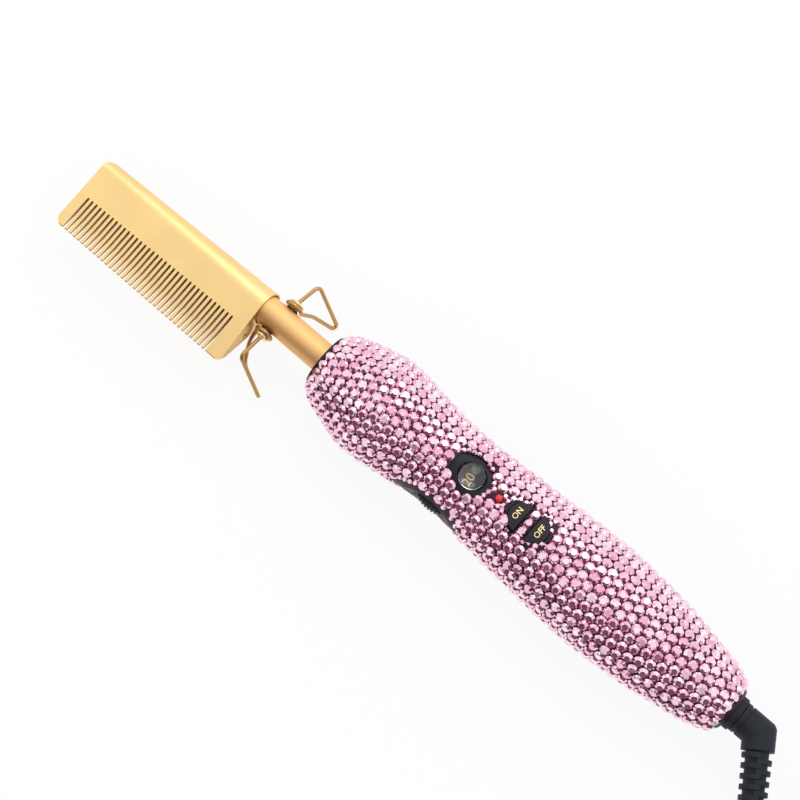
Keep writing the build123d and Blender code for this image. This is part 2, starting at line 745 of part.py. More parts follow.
# ---------------------------------------------------------------- window and dial
def window_bezel(face_form):
    """Black surround whose face follows the handle, dished round the lens."""
    body = window_prism(0, BEZEL_BASE, 2 * AXIS_HEIGHT) & face_form
    body += window_prism(BEZEL_FLANGE, BEZEL_BASE, BEZEL_BASE + BEZEL_FLANGE_HEIGHT) & handle_form(
        STONE_LAYER + SHELL_WALL + SEAT_FIT
    )
    seat = LENS_RADIUS + SEAT_FIT
    cone_base = LENS_BASE + LENS_EDGE_HEIGHT - 1.0
    cone_height = BEZEL_CONE_RADIUS - seat
    body -= post(LENS_X, LENS_Y, LENS_RADIUS - LENS_LEDGE, 0, AXIS_HEIGHT)
    body -= post(LENS_X, LENS_Y, seat, LENS_BASE - SEAT_FIT, 2 * AXIS_HEIGHT)
    dish = Cone(seat, BEZEL_CONE_RADIUS, cone_height, align=(Align.CENTER, Align.CENTER, Align.MIN))
    return body - Pos(LENS_X, LENS_Y, cone_base) * dish


def window_lens():
    """Plano-convex magnifying lens."""
    shoulder = LENS_BASE + LENS_EDGE_HEIGHT
    ball = (LENS_RADIUS**2 + LENS_DOME**2) / (2 * LENS_DOME)
    body = post(LENS_X, LENS_Y, LENS_RADIUS, LENS_BASE, shoulder + LENS_DOME)
    return body & (Pos(LENS_X, LENS_Y, shoulder + LENS_DOME - ball) * Sphere(ball))


def temperature_wheel():
    """Ribbed thumb rim with the dial's drum standing on it."""
    body = post(WHEEL_X, WHEEL_Y, RIM_RADIUS, -RIM_HALF_HEIGHT, RIM_HALF_HEIGHT)
    body += post(WHEEL_X, WHEEL_Y, DIAL_RADIUS, 0, DIAL_FACE)
    groove = RIM_RADIUS * math.sin(math.pi / RIM_RIBS) / 2
    for i in range(RIM_RIBS):
        angle = 2 * math.pi * i / RIM_RIBS
        x = WHEEL_X + (RIM_RADIUS + groove - RIB_DEPTH) * math.cos(angle)
        y = WHEEL_Y + (RIM_RADIUS + groove - RIB_DEPTH) * math.sin(angle)
        body -= post(x, y, groove, -2 * RIM_HALF_HEIGHT, 2 * RIM_HALF_HEIGHT)
    return body - post(WHEEL_X, WHEEL_Y, POT_SHAFT_RADIUS + SEAT_FIT, -5, DIAL_FACE - 1)


def potentiometer_shaft():
    return post(WHEEL_X, WHEEL_Y, POT_SHAFT_RADIUS, POT_TOP - POT_HEIGHT + 1.2, DIAL_FACE - 1.3)


def potentiometer_body():
    half = POT_SIDE / 2
    low = POT_TOP - POT_HEIGHT + SEAT_FIT
    body = block((WHEEL_X - half, WHEEL_X + half), (WHEEL_Y - half, WHEEL_Y + half), (low, POT_TOP))
    return body - post(WHEEL_X, WHEEL_Y, POT_SHAFT_RADIUS + RUN_FIT, POT_TOP - POT_HEIGHT + 0.9, 0)


# ---------------------------------------------------------------- buttons and indicator
def button_cap(flat_x, radius, facing, cap_form):
    cap = half_disc(flat_x, radius, facing, CAP_BASE, 2 * AXIS_HEIGHT) & cap_form
    flange_x = flat_x - facing * CAP_FLANGE
    flange_radius = radius + 2 * CAP_FLANGE
    return cap + half_disc(flange_x, flange_radius, facing, CAP_BASE, CAP_BASE + CAP_FLANGE_HEIGHT)


def indicator_led():
    body = post(LED_X, 0, LED_RADIUS, LED_BASE, LED_SHOULDER)
    body += Pos(LED_X, 0, LED_SHOULDER) * Sphere(LED_RADIUS)
    body += post(LED_X, 0, LED_RADIUS + LED_FLANGE, LED_BASE, LED_BASE + 1)
    return body


def indicator_legs():
    half = LED_LEG_SPACING / 2
    return [post(LED_X, y, LED_LEG_RADIUS, BOARD_BASE, LED_BASE) for y in (-half, half)]


# ---------------------------------------------------------------- circuit board
def circuit_board():
    board = block((BOARD_START, BOARD_END), (-BOARD_HALF_WIDTH, BOARD_HALF_WIDTH), (BOARD_BASE, BOARD_TOP))
    for x in (POST_FRONT_X, POST_REAR_X):
        for side in (1, -1):
            board -= post(x, side * POST_Y, POST_PIN_RADIUS + SEAT_FIT, 0, AXIS_HEIGHT)
    for leg in indicator_legs():
        board -= leg
    return board


def tact_switches():
    half = TACT_SIDE / 2
    return [
        block((x - half, x + half), (-half, half), (BOARD_TOP, BOARD_TOP + TACT_HEIGHT))
        + post(x, 0, TACT_PLUNGER_RADIUS, BOARD_TOP, TACT_PLUNGER_TOP)
        for x in TACT_PLACES
    ]


def on_board(x, size):
    """A box of this size standing on the board."""
    half_x, half_y = size[0] / 2, size[1] / 2
    return block((x - half_x, x + half_x), (-half_y, half_y), (BOARD_TOP, BOARD_TOP + size[2]))


def thermal_fuse():
    z = BOARD_TOP + FUSE_RADIUS
    half = FUSE_LENGTH / 2
    return rod(FUSE_RADIUS, (FUSE_X - half, FUSE_Y, z), (FUSE_X + half, FUSE_Y, z))


# ---------------------------------------------------------------- cord clamp and swivel
def mains_leads():
    """The cord's two conductors from the swivel's neck, through the clamp, to the board."""
    half = MAINS_LEAD_SPACING / 2
    last = HANDLE_END - TAIL_WALL - CLIP_THICKNESS - 2 * MOVE_GAP
    leads = []
    for y in (-half, half):
        points = [
            (last, y, 0),
            (CLAMP_X - CLAMP_LENGTH, y, 0),
            (BOARD_END + 3, y, BOARD_BASE + BOARD_THICKNESS / 2),
            (BOARD_END + SEAT_FIT, y, BOARD_BASE + BOARD_THICKNESS / 2),
        ]
        leads.append(bent_rod(MAINS_LEAD_RADIUS, points, [4.0, 1.5]))
    return leads


def cord_clamp_plate():
    half = CLAMP_LENGTH / 2
    low = MAINS_LEAD_RADIUS + SEAT_FIT
    body = block(
        (CLAMP_X - half, CLAMP_X + half),
        (-CLAMP_HALF_WIDTH, CLAMP_HALF_WIDTH),
        (low, low + CLAMP_THICKNESS),
    )
    for side in (1, -1):
        body += post(CLAMP_X, side * CLAMP_SCREW_Y, 1.7, -low + 2 * SEAT_FIT, low + 0.5)
        body -= post(CLAMP_X, side * CLAMP_SCREW_Y, CLAMP_SCREW_RADIUS + SEAT_FIT, -8, 8)
    return body


def cord_clamp_screws():
    seat = MAINS_LEAD_RADIUS + 2 * SEAT_FIT + CLAMP_THICKNESS
    return [
        post(CLAMP_X, side * CLAMP_SCREW_Y, 1.6, seat, seat + 1.2)
        + post(CLAMP_X, side * CLAMP_SCREW_Y, CLAMP_SCREW_RADIUS, -7, seat + 0.5)
        for side in (1, -1)
    ]


def cord_collar():
    inner = NECK_RADIUS + RUN_FIT
    spigot_start = HANDLE_END - TAIL_WALL
    body = ring(COLLAR_RADIUS, inner, HANDLE_END + SEAT_FIT, COLLAR_END)
    return body + ring(COLLAR_SPIGOT_RADIUS, inner, spigot_start, HANDLE_END + 2 * SEAT_FIT)


def mitred(start, corner, end, radius):
    """Two round rods that meet at a corner in a mitre."""
    run_in = (Vector(corner) - Vector(start)).normalized()
    run_out = (Vector(end) - Vector(corner)).normalized()
    plane = Plane(origin=corner, z_dir=run_in + run_out)
    deep = 10 * radius
    before = plane * Pos(0, 0, -deep / 2) * Box(deep, deep, deep)
    after = plane * Pos(0, 0, deep / 2) * Box(deep, deep, deep)
    first = rod(radius, start, Vector(corner) + run_in * 2 * radius) & before
    second = rod(radius, Vector(corner) - run_out * 2 * radius, end) & after
    return first + second


def boot_plane(along):
    """The plane square to the boot, this far from the elbow's corner, with its own x to the outside."""
    outside = Vector(-BOOT_ALONG.Y, BOOT_ALONG.X, 0)
    return Plane(origin=ELBOW + BOOT_ALONG * along, x_dir=outside, z_dir=BOOT_ALONG)


def half_rib(along, side):
    """A rib that covers one side of the boot and a little past the middle."""
    share = (along - RIB_FIRST) / (BOOT_LENGTH - RIB_FIRST)
    radius = RIB_RADIUS_START + (RIB_RADIUS_END - RIB_RADIUS_START) * share
    reach = radius + RIB_OVERLAP
    cover = Pos(side * (reach / 2 - RIB_OVERLAP), 0) * Rectangle(reach, 3 * radius)
    return extrude(boot_plane(along - RIB_THICKNESS / 2) * (Circle(radius) & cover), RIB_THICKNESS)


def swivel_elbow():
    """Neck, hub, mitred elbow and ribbed boot in one moulding."""
    smooth_end = ELBOW + BOOT_ALONG * BOOT_SMOOTH
    corner = mitred((HUB_START, 0, 0), ELBOW, smooth_end, HUB_RADIUS)
    body = corner & Pos(*ELBOW) * Sphere(ELBOW_CORNER_REACH)
    body += rod(HUB_RADIUS, (HUB_START, 0, 0), ELBOW) + rod(HUB_RADIUS, ELBOW, smooth_end)
    core = Plane(origin=ELBOW + BOOT_ALONG * (BOOT_SMOOTH - 1), z_dir=BOOT_ALONG)
    length = BOOT_LENGTH - BOOT_SMOOTH + 1
    cone = Cone(BOOT_CORE_START, BOOT_CORE_END, length, align=(Align.CENTER, Align.CENTER, Align.MIN))
    body += core * cone
    last_rib = BOOT_LENGTH - RIB_THICKNESS / 2 - RIB_STAGGER
    pairs = int((last_rib - RIB_FIRST) / RIB_PITCH) + 1
    for i in range(pairs):
        body += half_rib(RIB_FIRST + i * RIB_PITCH, -1)
        body += half_rib(RIB_FIRST + RIB_STAGGER + i * RIB_PITCH, 1)
    groove_end = HUB_GROOVE_X + HUB_GROOVE_WIDTH
    body -= ring(2 * HUB_RADIUS, HUB_RADIUS - HUB_GROOVE_DEPTH, HUB_GROOVE_X, groove_end)
    neck_start = HANDLE_END - TAIL_WALL - MOVE_GAP - CLIP_THICKNESS - 1
    body += rod(NECK_RADIUS, (neck_start, 0, 0), (HUB_START + 1, 0, 0))
    return body - rod(NECK_BORE_RADIUS, (neck_start - 1, 0, 0), (HUB_START + 2, 0, 0))


def swivel_clip():
    """Ring pressed on the neck that keeps the swivel in the collar."""
    end = HANDLE_END - TAIL_WALL - MOVE_GAP
    return ring(CLIP_RADIUS, NECK_RADIUS + SEAT_FIT, end - CLIP_THICKNESS, end)


# ---------------------------------------------------------------- cord and plug
def cord_run(name, points):
    """A cord's tube, with its bends printed and its volume compared with its length."""
    bends = widest_bends(points)
    path = FilletPolyline(*points, radius=bends)
    body = bent_rod(CORD_RADIUS, points, bends)
    share = body.volume / (math.pi * CORD_RADIUS**2 * path.length)
    print(name, "bends", [round(r, 1) for r in bends], "length", round(path.length, 1), "share", round(share, 4))
    return body


def coil_section(grow):
    """The outline of the coil's turns, grown on every side."""
    width = COIL_PITCH * (COIL_COLUMNS - 1) + CORD_DIAMETER + 2 * grow
    height = COIL_PITCH * (COIL_LAYERS - 1) + CORD_DIAMETER + 2 * grow
    middle = (COIL_LOW + COIL_HIGH) / 2
    return Plane.XZ * Pos(COIL_RADIUS, middle) * RectangleRounded(width, height, CORD_RADIUS * 0.98 + grow)


def cord_coil():
    return Pos(*COIL_CENTRE, 0) * revolve(coil_section(0), Axis.Z)


def coil_tie():
    band = revolve(coil_section(TIE_THICKNESS) - coil_section(0), Axis.Z, TIE_ARC)
    return Pos(*COIL_CENTRE, 0) * Rot(0, 0, TIE_ANGLE) * band


def plug_pins():
    """Two pins, each on a thinner stem that the body is moulded round."""
    face = PLUG_START + PLUG_RELIEF + PLUG_BODY
    pins = []
    for side in (1, -1):
        y = PLUG_Y + side * PIN_SPACING / 2
        pin = rod(PIN_RADIUS, (face + SEAT_FIT, y, PLUG_Z), (face + PIN_LENGTH, y, PLUG_Z))
        pin = chamfer(pin.edges().sort_by(Axis.X)[-1], PIN_RADIUS / 3)
        pins.append(pin + rod(PIN_STEM_RADIUS, (face - PIN_SEAT, y, PLUG_Z), (face + 1, y, PLUG_Z)))
    return pins


def plug_body():
    """Flat two-pin plug: a ribbed relief that widens to the face."""
    z = PLUG_Z
    start = PLUG_START + PLUG_RELIEF
    neck = 2 * PLUG_CORNER + 1
    shapes = (
        (start, neck + 2, neck),
        (start + PLUG_BODY * 0.4, PLUG_WIDTH * 0.86, PLUG_THICKNESS),
        (start + PLUG_BODY, PLUG_WIDTH, PLUG_THICKNESS),
    )
    sections = [
        across(x, PLUG_Y, z) * RectangleRounded(wide, tall, PLUG_CORNER) for x, wide, tall in shapes
    ]
    body = loft(sections, ruled=True)
    rib = CORD_RADIUS * 1.6
    body += rod(CORD_RADIUS * 1.35, (PLUG_START, PLUG_Y, z), (start + 1, PLUG_Y, z))
    for i in range(3):
        x = PLUG_START + 2.2 + i * PLUG_RELIEF / 4
        body += rod(rib, (x, PLUG_Y, z), (x + 1.5, PLUG_Y, z))
    for side in (1, -1):
        y = PLUG_Y + side * PIN_SPACING / 2
        seat = start + PLUG_BODY - PIN_SEAT - SEAT_FIT
        body -= rod(PIN_STEM_RADIUS + SEAT_FIT, (seat, y, z), (start + PLUG_BODY + 1, y, z))
        mouth = start + PLUG_BODY - PIN_MOUTH
        body -= rod(PIN_RADIUS + SEAT_FIT, (mouth, y, z), (start + PLUG_BODY + 1, y, z))
    return body


# ---------------------------------------------------------------- write every node
def write(name, shape):
    """Moves a node from the shaft's frame to the part's and writes its STEP file."""
    solids = list(shape) if isinstance(shape, (list, tuple)) else [shape]
    moved = [PLACE * solid for solid in solids]
    node = moved[0] if len(moved) == 1 else Compound(children=moved)
    export_step(node, f"parts/{name}.step")


def main():
    outer = handle_form(STONE_LAYER) & slab(SHELL_START, HANDLE_END)
    shell = shell_solid(outer)
    skin = stone_skin(handle_form(STONE_LAYER))
    bezel_form = handle_form(STONE_LAYER + BEZEL_DROP)
    cap_form = handle_form(STONE_LAYER - CAP_PROUD)

    write("comb_head", comb_head())
    write("shaft_tube", shaft_tube())
    write("heater_cartridge", heater_cartridge())
    write("heater_bush", heater_bush())
    write("heater_leads", heater_leads())
    write("temperature_sensor", temperature_sensor())
    write("sensor_leads", sensor_leads())
    write("stand_anchor_ring", stand_anchor_ring())
    write("stand_studs", [stud(side) for side in STUDS])
    write(
        "stand_lock_washers",
        [stud_ring(s, LOCK_WASHER_RADIUS, STUD_RADIUS + SEAT_FIT, WASHER_BASE, NUT_BASE) for s in STUDS],
    )
    write("stand_hex_nuts", [hex_nut(side) for side in STUDS])
    washer_end = NUT_END + OUTER_WASHER_THICKNESS
    write(
        "stand_outer_washers",
        [stud_ring(s, OUTER_WASHER_RADIUS, STUD_RADIUS + SEAT_FIT, NUT_END, washer_end) for s in STUDS],
    )
    write("stand_wire_spine_side", stand_wire_spine_side())
    write("stand_wire_teeth_side", stand_wire_teeth_side())
    write("nose_ring", nose_ring())
    write("shaft_lock_nut", shaft_lock_nut())
    write("handle_top_shell", handle_top_shell(shell, outer))
    write("handle_bottom_shell", handle_bottom_shell(shell, outer))
    write("stones_top", stones_top(skin))
    write("stones_bottom", stones_bottom(skin))
    write("handle_screws", handle_screws())
    write("window_bezel", window_bezel(bezel_form))
    write("window_lens", window_lens())
    write("temperature_wheel", temperature_wheel())
    write("potentiometer_shaft", potentiometer_shaft())
    write("potentiometer_body", potentiometer_body())
    write("on_button", button_cap(ON_FLAT_X, ON_RADIUS, -1, cap_form))
    write("off_button", button_cap(OFF_FLAT_X, OFF_RADIUS, 1, cap_form))
    write("indicator_led", indicator_led())
    write("indicator_legs", indicator_legs())
    write("circuit_board", circuit_board())
    write("tact_switches", tact_switches())
    write("triac", on_board(TRIAC_X, TRIAC_SIZE))
    write("film_capacitor", on_board(CAPACITOR_X, CAPACITOR_SIZE))
    write("thermal_fuse", thermal_fuse())
    write("mains_leads", mains_leads())
    write("cord_clamp_plate", cord_clamp_plate())
    write("cord_clamp_screws", cord_clamp_screws())
    write("cord_collar", cord_collar())
    write("swivel_elbow", swivel_elbow())
    write("swivel_clip", swivel_clip())
    write("cord_lead", cord_run("cord_lead", LEAD_ROUTE))
    write("cord_coil", cord_coil())
    write("coil_tie", coil_tie())
    write("cord_tail", cord_run("cord_tail", TAIL_ROUTE))
    write("plug_body", plug_body())
    write("plug_pins", plug_pins())


main()
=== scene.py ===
import json
import math
import random

import bmesh
import bpy
from mathutils import Euler, Matrix, Vector
from mathutils.bvhtree import BVHTree
from mathutils.kdtree import KDTree


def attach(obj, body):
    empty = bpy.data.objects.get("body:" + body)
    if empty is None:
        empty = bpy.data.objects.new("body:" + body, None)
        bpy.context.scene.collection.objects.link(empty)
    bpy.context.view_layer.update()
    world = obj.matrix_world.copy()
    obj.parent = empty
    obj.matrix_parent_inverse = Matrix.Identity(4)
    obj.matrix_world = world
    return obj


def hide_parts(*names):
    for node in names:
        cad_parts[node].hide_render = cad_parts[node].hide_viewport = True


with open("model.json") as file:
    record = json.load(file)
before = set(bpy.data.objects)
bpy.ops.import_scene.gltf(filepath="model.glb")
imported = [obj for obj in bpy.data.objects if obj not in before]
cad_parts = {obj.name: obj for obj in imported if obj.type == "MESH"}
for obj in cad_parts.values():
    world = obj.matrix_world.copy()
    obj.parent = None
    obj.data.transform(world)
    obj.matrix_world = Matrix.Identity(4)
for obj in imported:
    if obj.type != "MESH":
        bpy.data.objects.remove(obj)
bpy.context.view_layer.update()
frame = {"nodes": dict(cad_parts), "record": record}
nodes = frame["nodes"]
scene = bpy.context.scene
dice = random.Random(7)

MM = 0.001
COMB_TIP = Vector((-0.1463, 0.0028, 0.0185))  # metres, where the shaft's axis leaves the comb's tip

# Unless said otherwise, sizes are in millimetres and places in millimetres from the comb's tip.


def at(x, y, z=0.0):
    """A point given in millimetres from the comb's tip: along the shaft, towards the spine, up."""
    return COMB_TIP + Vector((x, y, z)) * MM


WHEEL_MIDDLE = (166.0, -2.9)
DIAL_FACE = 7.5  # the dial's face over the shaft's axis
SLOTS = (3.0, 74.0)  # the comb head's slots lie between these


# ---------------------------------------------------------------- camera
FOCAL_LENGTH = 95.5
CAMERA_PLACE = (0.0721, -0.1477, 0.7385)  # metres
CAMERA_TURN = (13.55, -3.14, 41.0)  # degrees


def add_camera():
    lens = bpy.data.cameras.new("camera")
    lens.sensor_width = 36.0
    lens.lens = FOCAL_LENGTH
    lens.clip_start = 0.01
    camera = bpy.data.objects.new("camera", lens)
    camera.location = CAMERA_PLACE
    camera.rotation_euler = [math.radians(a) for a in CAMERA_TURN]
    scene.collection.objects.link(camera)
    scene.camera = camera


# ---------------------------------------------------------------- finishes
class Number:
    """A socket that carries a number, so that shader maths reads as Python."""

    def __init__(self, finish, socket):
        self.finish = finish
        self.socket = socket

    def maths(self, operation, *values):
        node = self.finish.node("ShaderNodeMath", {"operation": operation}, dict(enumerate(values)))
        return Number(self.finish, node.outputs[0])

    def __add__(self, other):
        return self.maths("ADD", self, other)

    def __radd__(self, other):
        return self.maths("ADD", other, self)

    def __sub__(self, other):
        return self.maths("SUBTRACT", self, other)

    def __mul__(self, other):
        return self.maths("MULTIPLY", self, other)

    def __rmul__(self, other):
        return self.maths("MULTIPLY", other, self)

    def ramp(self, low, high):
        """0 at low and 1 at high, easing at both ends."""
        settings = {"interpolation_type": "SMOOTHSTEP"}
        node = self.finish.node("ShaderNodeMapRange", settings, {"Value": self, 1: low, 2: high})
        return Number(self.finish, node.outputs[0])


def open_socket(sockets, name):
    """The first socket in use with that name."""
    return next(s for s in sockets if s.name == name and s.enabled)


class Finish:
    """One material: its node tree, with short ways to make textures, mixes and bumps."""

    def __init__(self, name, **uniform):
        self.material = bpy.data.materials.new(name)
        self.material.use_nodes = True
        self.tree = self.material.node_tree
        self.shader = self.tree.nodes["Principled BSDF"]
        for key, value in uniform.items():
            self.shader.inputs[key.replace("_", " ").title().replace("Ior", "IOR")].default_value = value

    def node(self, kind, settings=None, inputs=None):
        node = self.tree.nodes.new(kind)
        for name, value in (settings or {}).items():
            setattr(node, name, value)
        for key, value in (inputs or {}).items():
            socket = node.inputs[key] if isinstance(key, int) else open_socket(node.inputs, key)
            value = value.socket if isinstance(value, Number) else value
            if isinstance(value, bpy.types.NodeSocket):
                self.tree.links.new(value, socket)
            else:
                socket.default_value = value
        return node

    def place(self, stretch=(1, 1, 1)):
        """The point on the object, scaled along its axes."""
        point = self.node("ShaderNodeTexCoord").outputs["Object"]
        return self.node("ShaderNodeMapping", None, {"Vector": point, "Scale": stretch}).outputs[0]

    def noise(self, grain, detail=2.0, stretch=(1, 1, 1)):
        """Smooth noise with features about this many millimetres across."""
        inputs = {"Vector": self.place(stretch), "Scale": 1 / (grain * MM), "Detail": detail}
        return Number(self, self.node("ShaderNodeTexNoise", None, inputs).outputs["Fac"])

    def attribute(self, name):
        node = self.node("ShaderNodeAttribute", {"attribute_name": name})
        return Number(self, node.outputs["Fac"])

    def mix(self, mask, low, high):
        """A colour that goes from low to high with the mask."""
        inputs = {"Factor": mask, "A": low, "B": high}
        node = self.node("ShaderNodeMix", {"data_type": "RGBA"}, inputs)
        return open_socket(node.outputs, "Result")

    def feed(self, name, value):
        value = value.socket if isinstance(value, Number) else value
        self.tree.links.new(value, self.shader.inputs[name])

    def bump(self, height, depth):
        """Relief of this depth in millimetres."""
        inputs = {"Height": height, "Distance": depth * MM, "Strength": 1.0}
        self.feed("Normal", self.node("ShaderNodeBump", None, inputs).outputs["Normal"])


def rgb(red, green, blue):
    return (red, green, blue, 1.0)


RECESS_SHADE = (0.38, 0.22, 0.06)  # painted shade: what a recess keeps of its metal's red, green and blue, a darker brown
PLASTIC_SHINE = 0.25


def metal_finish(name, tone, worn_and_highlit, roughness, grain, stretch=(1, 1, 1), relief=0.01):
    """Plated or polished metal: clouded tone, fine lines, brighter, smoother edges, partly wear and partly
    painted highlight, and painted shade in recesses.
    """
    finish = Finish(name, metallic=1.0)
    clouds = finish.noise(14.0, 3.0)
    lines = finish.noise(grain, 3.0, stretch)
    edge = finish.attribute("edge")
    dull = [c * 0.94 for c in tone[:3]] + [1.0]
    # painted shade: recesses turn a darker brown
    recess_shaded = [part * kept for part, kept in zip(tone, RECESS_SHADE)] + [1.0]
    plain = finish.mix(clouds.ramp(0.3, 0.7), dull, tone)
    # paler edges: partly wear, partly painted highlight
    edge_worn_and_highlit = finish.mix(edge * 0.7, plain, worn_and_highlit)
    finish.feed("Base Color", finish.mix(finish.attribute("recess"), edge_worn_and_highlit, recess_shaded))
    finish.feed("Roughness", roughness + 0.12 * (lines - 0.5) + 0.06 * (clouds - 0.5) - 0.08 * edge)
    finish.bump(lines, relief)
    return finish.material


def moulded_finish(name, tone, roughness, grain, relief):
    """Moulded plastic or rubber: fine texture, faint dust and paler edges, partly wear and partly painted
    highlight.
    """
    finish = Finish(name, specular_ior_level=PLASTIC_SHINE)
    texture = finish.noise(grain, 2.0)
    haze = finish.noise(11.0, 4.0)
    edge = finish.attribute("edge")
    pale = [c * 1.4 + 0.006 for c in tone[:3]] + [1.0]
    shade = finish.mix(haze.ramp(0.35, 0.75) * 0.4, tone, pale)
    # paler edges: partly wear, partly painted highlight
    finish.feed("Base Color", finish.mix(edge * 0.6, shade, pale))
    finish.feed("Roughness", roughness + 0.15 * (haze - 0.5))
    finish.bump(texture, relief)
    return finish.material


def dial_finish():
    """The wheel's plastic: dark at the rim, smoky brown on the dial's face under the lens, partly the face's
    own colour and partly painted light that reaches it through the lens.
    """
    finish = Finish("dial_plastic_lit_face", specular_ior_level=PLASTIC_SHINE)
    height = finish.node("ShaderNodeSeparateXYZ", None, {"Vector": finish.place()}).outputs["Z"]
    top = COMB_TIP.z + DIAL_FACE * MM
    face = Number(finish, height).ramp(top - 0.3 * MM, top - 0.1 * MM)
    haze = finish.noise(5.0, 3.0)
    # painted light: the face's smoky brown is lighter than the rim, for the light that falls on it through
    # the lens
    smoky = finish.mix(haze.ramp(0.3, 0.7), rgb(0.17, 0.13, 0.12), rgb(0.34, 0.28, 0.25))
    finish.feed("Base Color", finish.mix(face, rgb(0.030, 0.027, 0.034), smoky))
    finish.feed("Roughness", 0.42 + 0.15 * (haze - 0.5))
    finish.bump(finish.noise(0.2), 0.01)
    return finish.material


def stone_finish():
    """Foil-backed cut stones with painted sparkle: each facet is painted from deep pink to white, standing
    for the light and dark it throws back.
    """
    finish = Finish("pink_stone_cut", metallic=1.0, coat_weight=0.6, coat_roughness=0.03)
    glint = finish.attribute("glint")
    # painted sparkle and reflection: glint takes a facet from deep pink to pink, then to white
    deep = finish.mix(glint.ramp(0.0, 0.35), rgb(0.38, 0.11, 0.20), rgb(0.88, 0.45, 0.62))
    bright = finish.mix(glint.ramp(0.45, 0.95), deep, rgb(1.0, 0.79, 0.89))
    finish.feed("Base Color", bright)
    smear = finish.noise(1.1, 2.0)
    finish.feed("Roughness", 0.07 + 0.10 * smear)
    return finish.material


def glass_finish():
    """Clear moulded lens with faint polishing haze."""
    finish = Finish("clear_lens_polished", transmission_weight=1.0, ior=1.49)
    tint = finish.mix(finish.noise(3.0), rgb(0.86, 0.84, 0.84), rgb(0.96, 0.95, 0.95))
    finish.feed("Base Color", tint)
    finish.feed("Roughness", 0.01 + 0.04 * finish.noise(0.7).ramp(0.45, 0.8))
    return finish.material


def indicator_finish():
    """Tinted red moulding of the indicator."""
    finish = Finish("red_indicator_tinted", coat_weight=1.0, roughness=0.2)
    red = finish.mix(finish.noise(0.8), rgb(0.62, 0.008, 0.015), rgb(0.85, 0.02, 0.03))
    finish.feed("Base Color", red)
    return finish.material


def ceramic_finish():
    """Unglazed white ceramic, faintly mottled."""
    finish = Finish("white_ceramic_plain")
    white = finish.mix(finish.noise(1.5, 4.0), rgb(0.8, 0.78, 0.73), rgb(0.9, 0.88, 0.85))
    finish.feed("Base Color", white)
    finish.feed("Roughness", 0.6 + 0.2 * finish.noise(0.5))
    finish.bump(finish.noise(0.3), 0.02)
    return finish.material


def board_finish():
    """Green laminate with its weave."""
    finish = Finish("board_laminate_green")
    weave = finish.noise(0.4, 1.0, (1, 0.2, 1)) * finish.noise(0.4, 1.0, (0.2, 1, 1))
    green = finish.mix(weave.ramp(0.1, 0.4), rgb(0.02, 0.12, 0.04), rgb(0.04, 0.2, 0.07))
    finish.feed("Base Color", green)
    finish.feed("Roughness", 0.4 + 0.1 * weave)
    return finish.material


FINISHES = {
    "comb_brass": metal_finish(
        "comb_brass_satin", rgb(1.0, 0.72, 0.32), rgb(1.0, 0.82, 0.50), 0.42, 0.5, (0.15, 1, 1), 0.003
    ),
    "shaft_brass": metal_finish(
        "shaft_brass_brushed", rgb(1.0, 0.65, 0.28), rgb(1.0, 0.78, 0.45), 0.6, 0.35, (0.1, 1, 1), 0.003
    ),
    "polished_brass": metal_finish(
        "polished_brass_pale", rgb(0.86, 0.66, 0.32), rgb(0.98, 0.85, 0.55), 0.2, 0.4, (1, 1, 1), 0.004
    ),
    "wire_brass": metal_finish(
        "wire_brass_matte", rgb(0.62, 0.38, 0.15), rgb(0.8, 0.56, 0.3), 0.42, 0.6, (1, 1, 1), 0.01
    ),
    "dark_steel": metal_finish(
        "dark_steel_blackened", rgb(0.09, 0.075, 0.06), rgb(0.2, 0.16, 0.12), 0.42, 0.5
    ),
    "plain_steel": metal_finish("plain_steel_zinc", rgb(0.6, 0.6, 0.58), rgb(0.75, 0.75, 0.73), 0.35, 0.6),
    "pin_nickel": metal_finish("pin_nickel_plated", rgb(0.7, 0.69, 0.65), rgb(0.85, 0.84, 0.8), 0.18, 0.5),
    "black_plastic": moulded_finish("black_plastic_fine", rgb(0.010, 0.009, 0.016), 0.4, 0.25, 0.01),
    # dark plum between the stones: partly the glue, partly painted reflection of pink from the stones
    "glue_and_pink_bounce": moulded_finish("glue_and_pink_bounce_plum", rgb(0.028, 0.009, 0.018), 0.4, 0.25, 0.01),
    "dial_plastic": dial_finish(),
    "button_plastic": moulded_finish("button_plastic_satin", rgb(0.019, 0.015, 0.022), 0.5, 0.25, 0.012),
    "component_plastic": moulded_finish("component_plastic_moulded", rgb(0.05, 0.05, 0.055), 0.5, 0.3, 0.02),
    "boot_rubber": moulded_finish("boot_rubber_slate", rgb(0.011, 0.014, 0.021), 0.55, 0.35, 0.03),
    "cord_jacket": moulded_finish("cord_jacket_matte", rgb(0.02, 0.021, 0.025), 0.5, 0.3, 0.02),
    "plug_rubber": moulded_finish("plug_rubber_matte", rgb(0.022, 0.023, 0.027), 0.48, 0.4, 0.03),
    "tie_strap": moulded_finish("tie_strap_black", rgb(0.02, 0.02, 0.02), 0.35, 0.4, 0.02),
    "lead_sleeve": moulded_finish("lead_sleeve_silicone", rgb(0.7, 0.68, 0.62), 0.5, 0.4, 0.02),
    "gold_print": metal_finish("gold_print_foil", rgb(0.9, 0.72, 0.38), rgb(0.95, 0.8, 0.5), 0.45, 0.3),
    "pink_stone": stone_finish(),
    "clear_lens": glass_finish(),
    "red_indicator": indicator_finish(),
    "white_ceramic": ceramic_finish(),
    "board_laminate": board_finish(),
}
SHELL_FINISH = {"handle_top_shell": "glue_and_pink_bounce", "handle_bottom_shell": "glue_and_pink_bounce"}


# ---------------------------------------------------------------- pieces
SHARP_TURN = 35.0  # degrees between two faces that look sharp
CORNER_TURN = 30.0  # degrees between two faces whose edge is rounded
